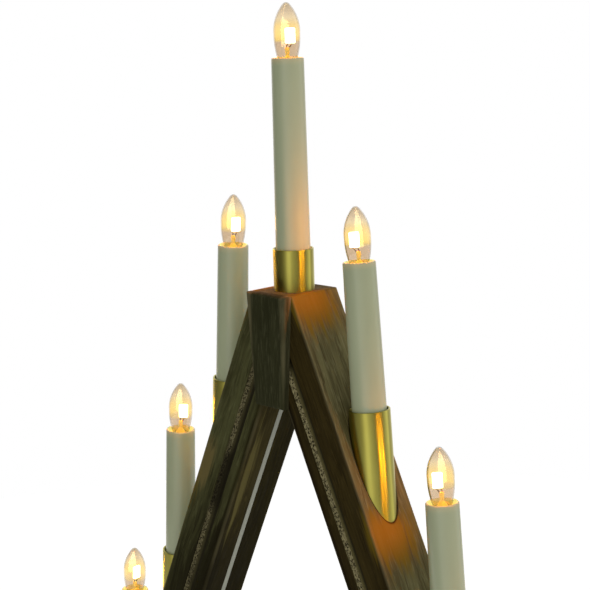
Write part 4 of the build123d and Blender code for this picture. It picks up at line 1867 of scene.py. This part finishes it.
@dataclass
class Studio:
    """Pale floor, soft surrounding light and the picture's camera.

    The room's brightness goes by heading: degrees from the camera's side, plus to its right.
    Brass sees the room's panels sharper than matt pieces do.
    """

    image_size: int = 590
    focal_pixels: float = 1450.2
    sensor: float = 36.0
    yaw: float = 46.277
    pitch: float = 10.703
    roll: float = -1.7
    distance: float = 0.83797
    sideways: float = 0.00025
    lift: float = -0.0036
    floor_radius: float = 1.1
    floor_tone: Colour = (0.80, 0.80, 0.79)
    floor_lift: float = 0.66
    room: tuple[tuple[float, float], ...] = (
        (-180.0, 1.0), (-140.0, 0.95), (-124.0, 0.30), (-112.0, 0.05), (-58.0, 0.05), (-46.0, 0.30),
        (-34.0, 0.95),
        (-24.0, 0.98), (-8.0, 0.62), (12.0, 0.46), (40.0, 0.52), (66.0, 0.60), (90.0, 0.48), (98.0, 0.5),
        (101.0, 1.6), (108.0, 1.6), (112.0, 0.42), (140.0, 0.42), (165.0, 0.75))
    brass_room: tuple[tuple[float, float], ...] = (
        (-180.0, 1.0), (-150.0, 1.0), (-130.0, 0.30), (-116.0, 0.02), (-72.0, 0.02), (-58.0, 0.14),
        (-46.0, 0.42), (-34.0, 1.05), (-22.0, 1.10), (-10.0, 0.66), (4.0, 0.42), (14.0, 0.28),
        (28.0, 0.08), (66.0, 0.08), (76.0, 0.32), (92.0, 0.80), (104.0, 1.30), (112.0, 0.55),
        (126.0, 0.50), (145.0, 0.80), (165.0, 1.0))
    overhead: Colour = (0.45, 0.455, 0.44)

    def build(self, apex: Point) -> None:
        """Sets up the stage.

        Args:
            apex: Middle of the arch's flat top, which the camera is aimed from.
        """
        self.camera(apex)
        self.world()
        self.floor()
        bpy.context.scene.view_settings.view_transform = "Standard"

    def camera(self, apex: Point) -> None:
        """Places the camera of the picture.

        Args:
            apex: Middle of the arch's flat top.
        """
        yaw, pitch, roll = (math.radians(angle) for angle in (self.yaw, self.pitch, self.roll))
        back = Vector((math.sin(yaw) * math.cos(pitch), -math.cos(yaw) * math.cos(pitch), math.sin(pitch)))
        level = Vector((math.cos(yaw), math.sin(yaw), 0.0))
        upright = back.cross(level)
        right = math.cos(roll) * level + math.sin(roll) * upright
        up = -math.sin(roll) * level + math.cos(roll) * upright
        place = Vector(apex) + back * self.distance + level * self.sideways + Vector((0.0, 0.0, self.lift))
        data = bpy.data.cameras.new("picture_camera")
        data.sensor_width = self.sensor
        data.lens = self.focal_pixels / self.image_size * self.sensor
        data.clip_start = 0.01
        obj = linked(data.name, data)
        turn = Matrix((right, up, back)).transposed().to_4x4()
        obj.matrix_world = Matrix.Translation(place) @ turn
        bpy.context.scene.camera = obj

    def world(self) -> None:
        """A white backdrop, which metal and glass show too, and a dimmer room in front of it."""
        world = bpy.data.worlds.new("studio")
        bpy.context.scene.world = world
        world.use_nodes = True
        desk = NodeDesk(world.node_tree)
        shade = world.node_tree.nodes["Background"]
        across, deep, up = desk.parts(desk.add("ShaderNodeTexCoord").outputs["Generated"])
        heading = desk.math("ARCTAN2", deep, across)
        start = math.radians(self.yaw - 90.0)
        turn = desk.math("SUBTRACT", heading, start)
        share = desk.math("FRACT", desk.math("ADD", desk.math("DIVIDE", turn, FULL_TURN), 1.5))
        path = desk.add("ShaderNodeLightPath")
        soft, sharp = (desk.ramp(share, [(angle / 360.0 + 0.5, (level,) * 3) for angle, level in levels])
                       for levels in (self.room, self.brass_room))
        ring = desk.mix(path.outputs["Is Glossy Ray"], soft, sharp)
        room = desk.mix(desk.span(up, 0.35, 0.95), ring, self.overhead)
        seen = desk.math("MAXIMUM", path.outputs["Is Camera Ray"], path.outputs["Is Transmission Ray"])
        desk.feed(shade.inputs["Color"], desk.mix(seen, room, (1.0, 1.0, 1.0)))
        shade.inputs["Strength"].default_value = 1.0

    def floor(self) -> None:
        """A round pale floor that fades into the backdrop and keeps the arch's shadow."""
        mesh = bpy.data.meshes.new("floor")
        work = bmesh.new()
        bmesh.ops.create_circle(work, cap_ends=True, segments=128, radius=self.floor_radius)
        work.to_mesh(mesh)
        work.free()
        surface = Surface("pale_floor")
        surface.set(base_color=self.floor_tone, roughness=0.9, specular_ior_level=0.0)
        path = surface.add("ShaderNodeLightPath")
        seen = path.outputs["Is Camera Ray"]
        for name in ("Is Glossy Ray", "Is Transmission Ray"):
            seen = surface.math("MAXIMUM", seen, path.outputs[name])
        surface.set(emission_color=WHITE,
                    emission_strength=surface.math("MULTIPLY", seen, self.floor_lift))
        mesh.materials.append(surface.material)
        obj = linked("floor", mesh)
        obj.location.z = CAD_BOX[0].z - 0.2 * MM


def main() -> None:
    """Builds the arch piece by piece, then the stage."""
    logging.basicConfig(level=logging.INFO, format="%(name)s: %(message)s")
    wood = WoodFrame()
    wood.build()
    names = sorted(node[len("tube_"):] for node in frame["nodes"] if node.startswith("tube_"))
    names.sort(key=lambda name: name != UPRIGHT_CANDLE)
    finishes = CandleFinishes.make()
    brass_pieces = bpy.data.collections.new("brass_pieces")
    candles = [Candle(name, finishes, brass_pieces, plate_turn=PLATE_TURNS[name]) for name in names]
    threads, wires = thread_tree(), cable_tree()
    for candle in candles:
        candle.build(threads, wires)
        candle.lamps()
    Wiring(wood).build(candles, wires)
    Studio().build((0.0, 0.0, wood.arm_high.z))
    LOG.info("%d candles on the arch", len(candles))


if __name__ == "__main__":
    main()
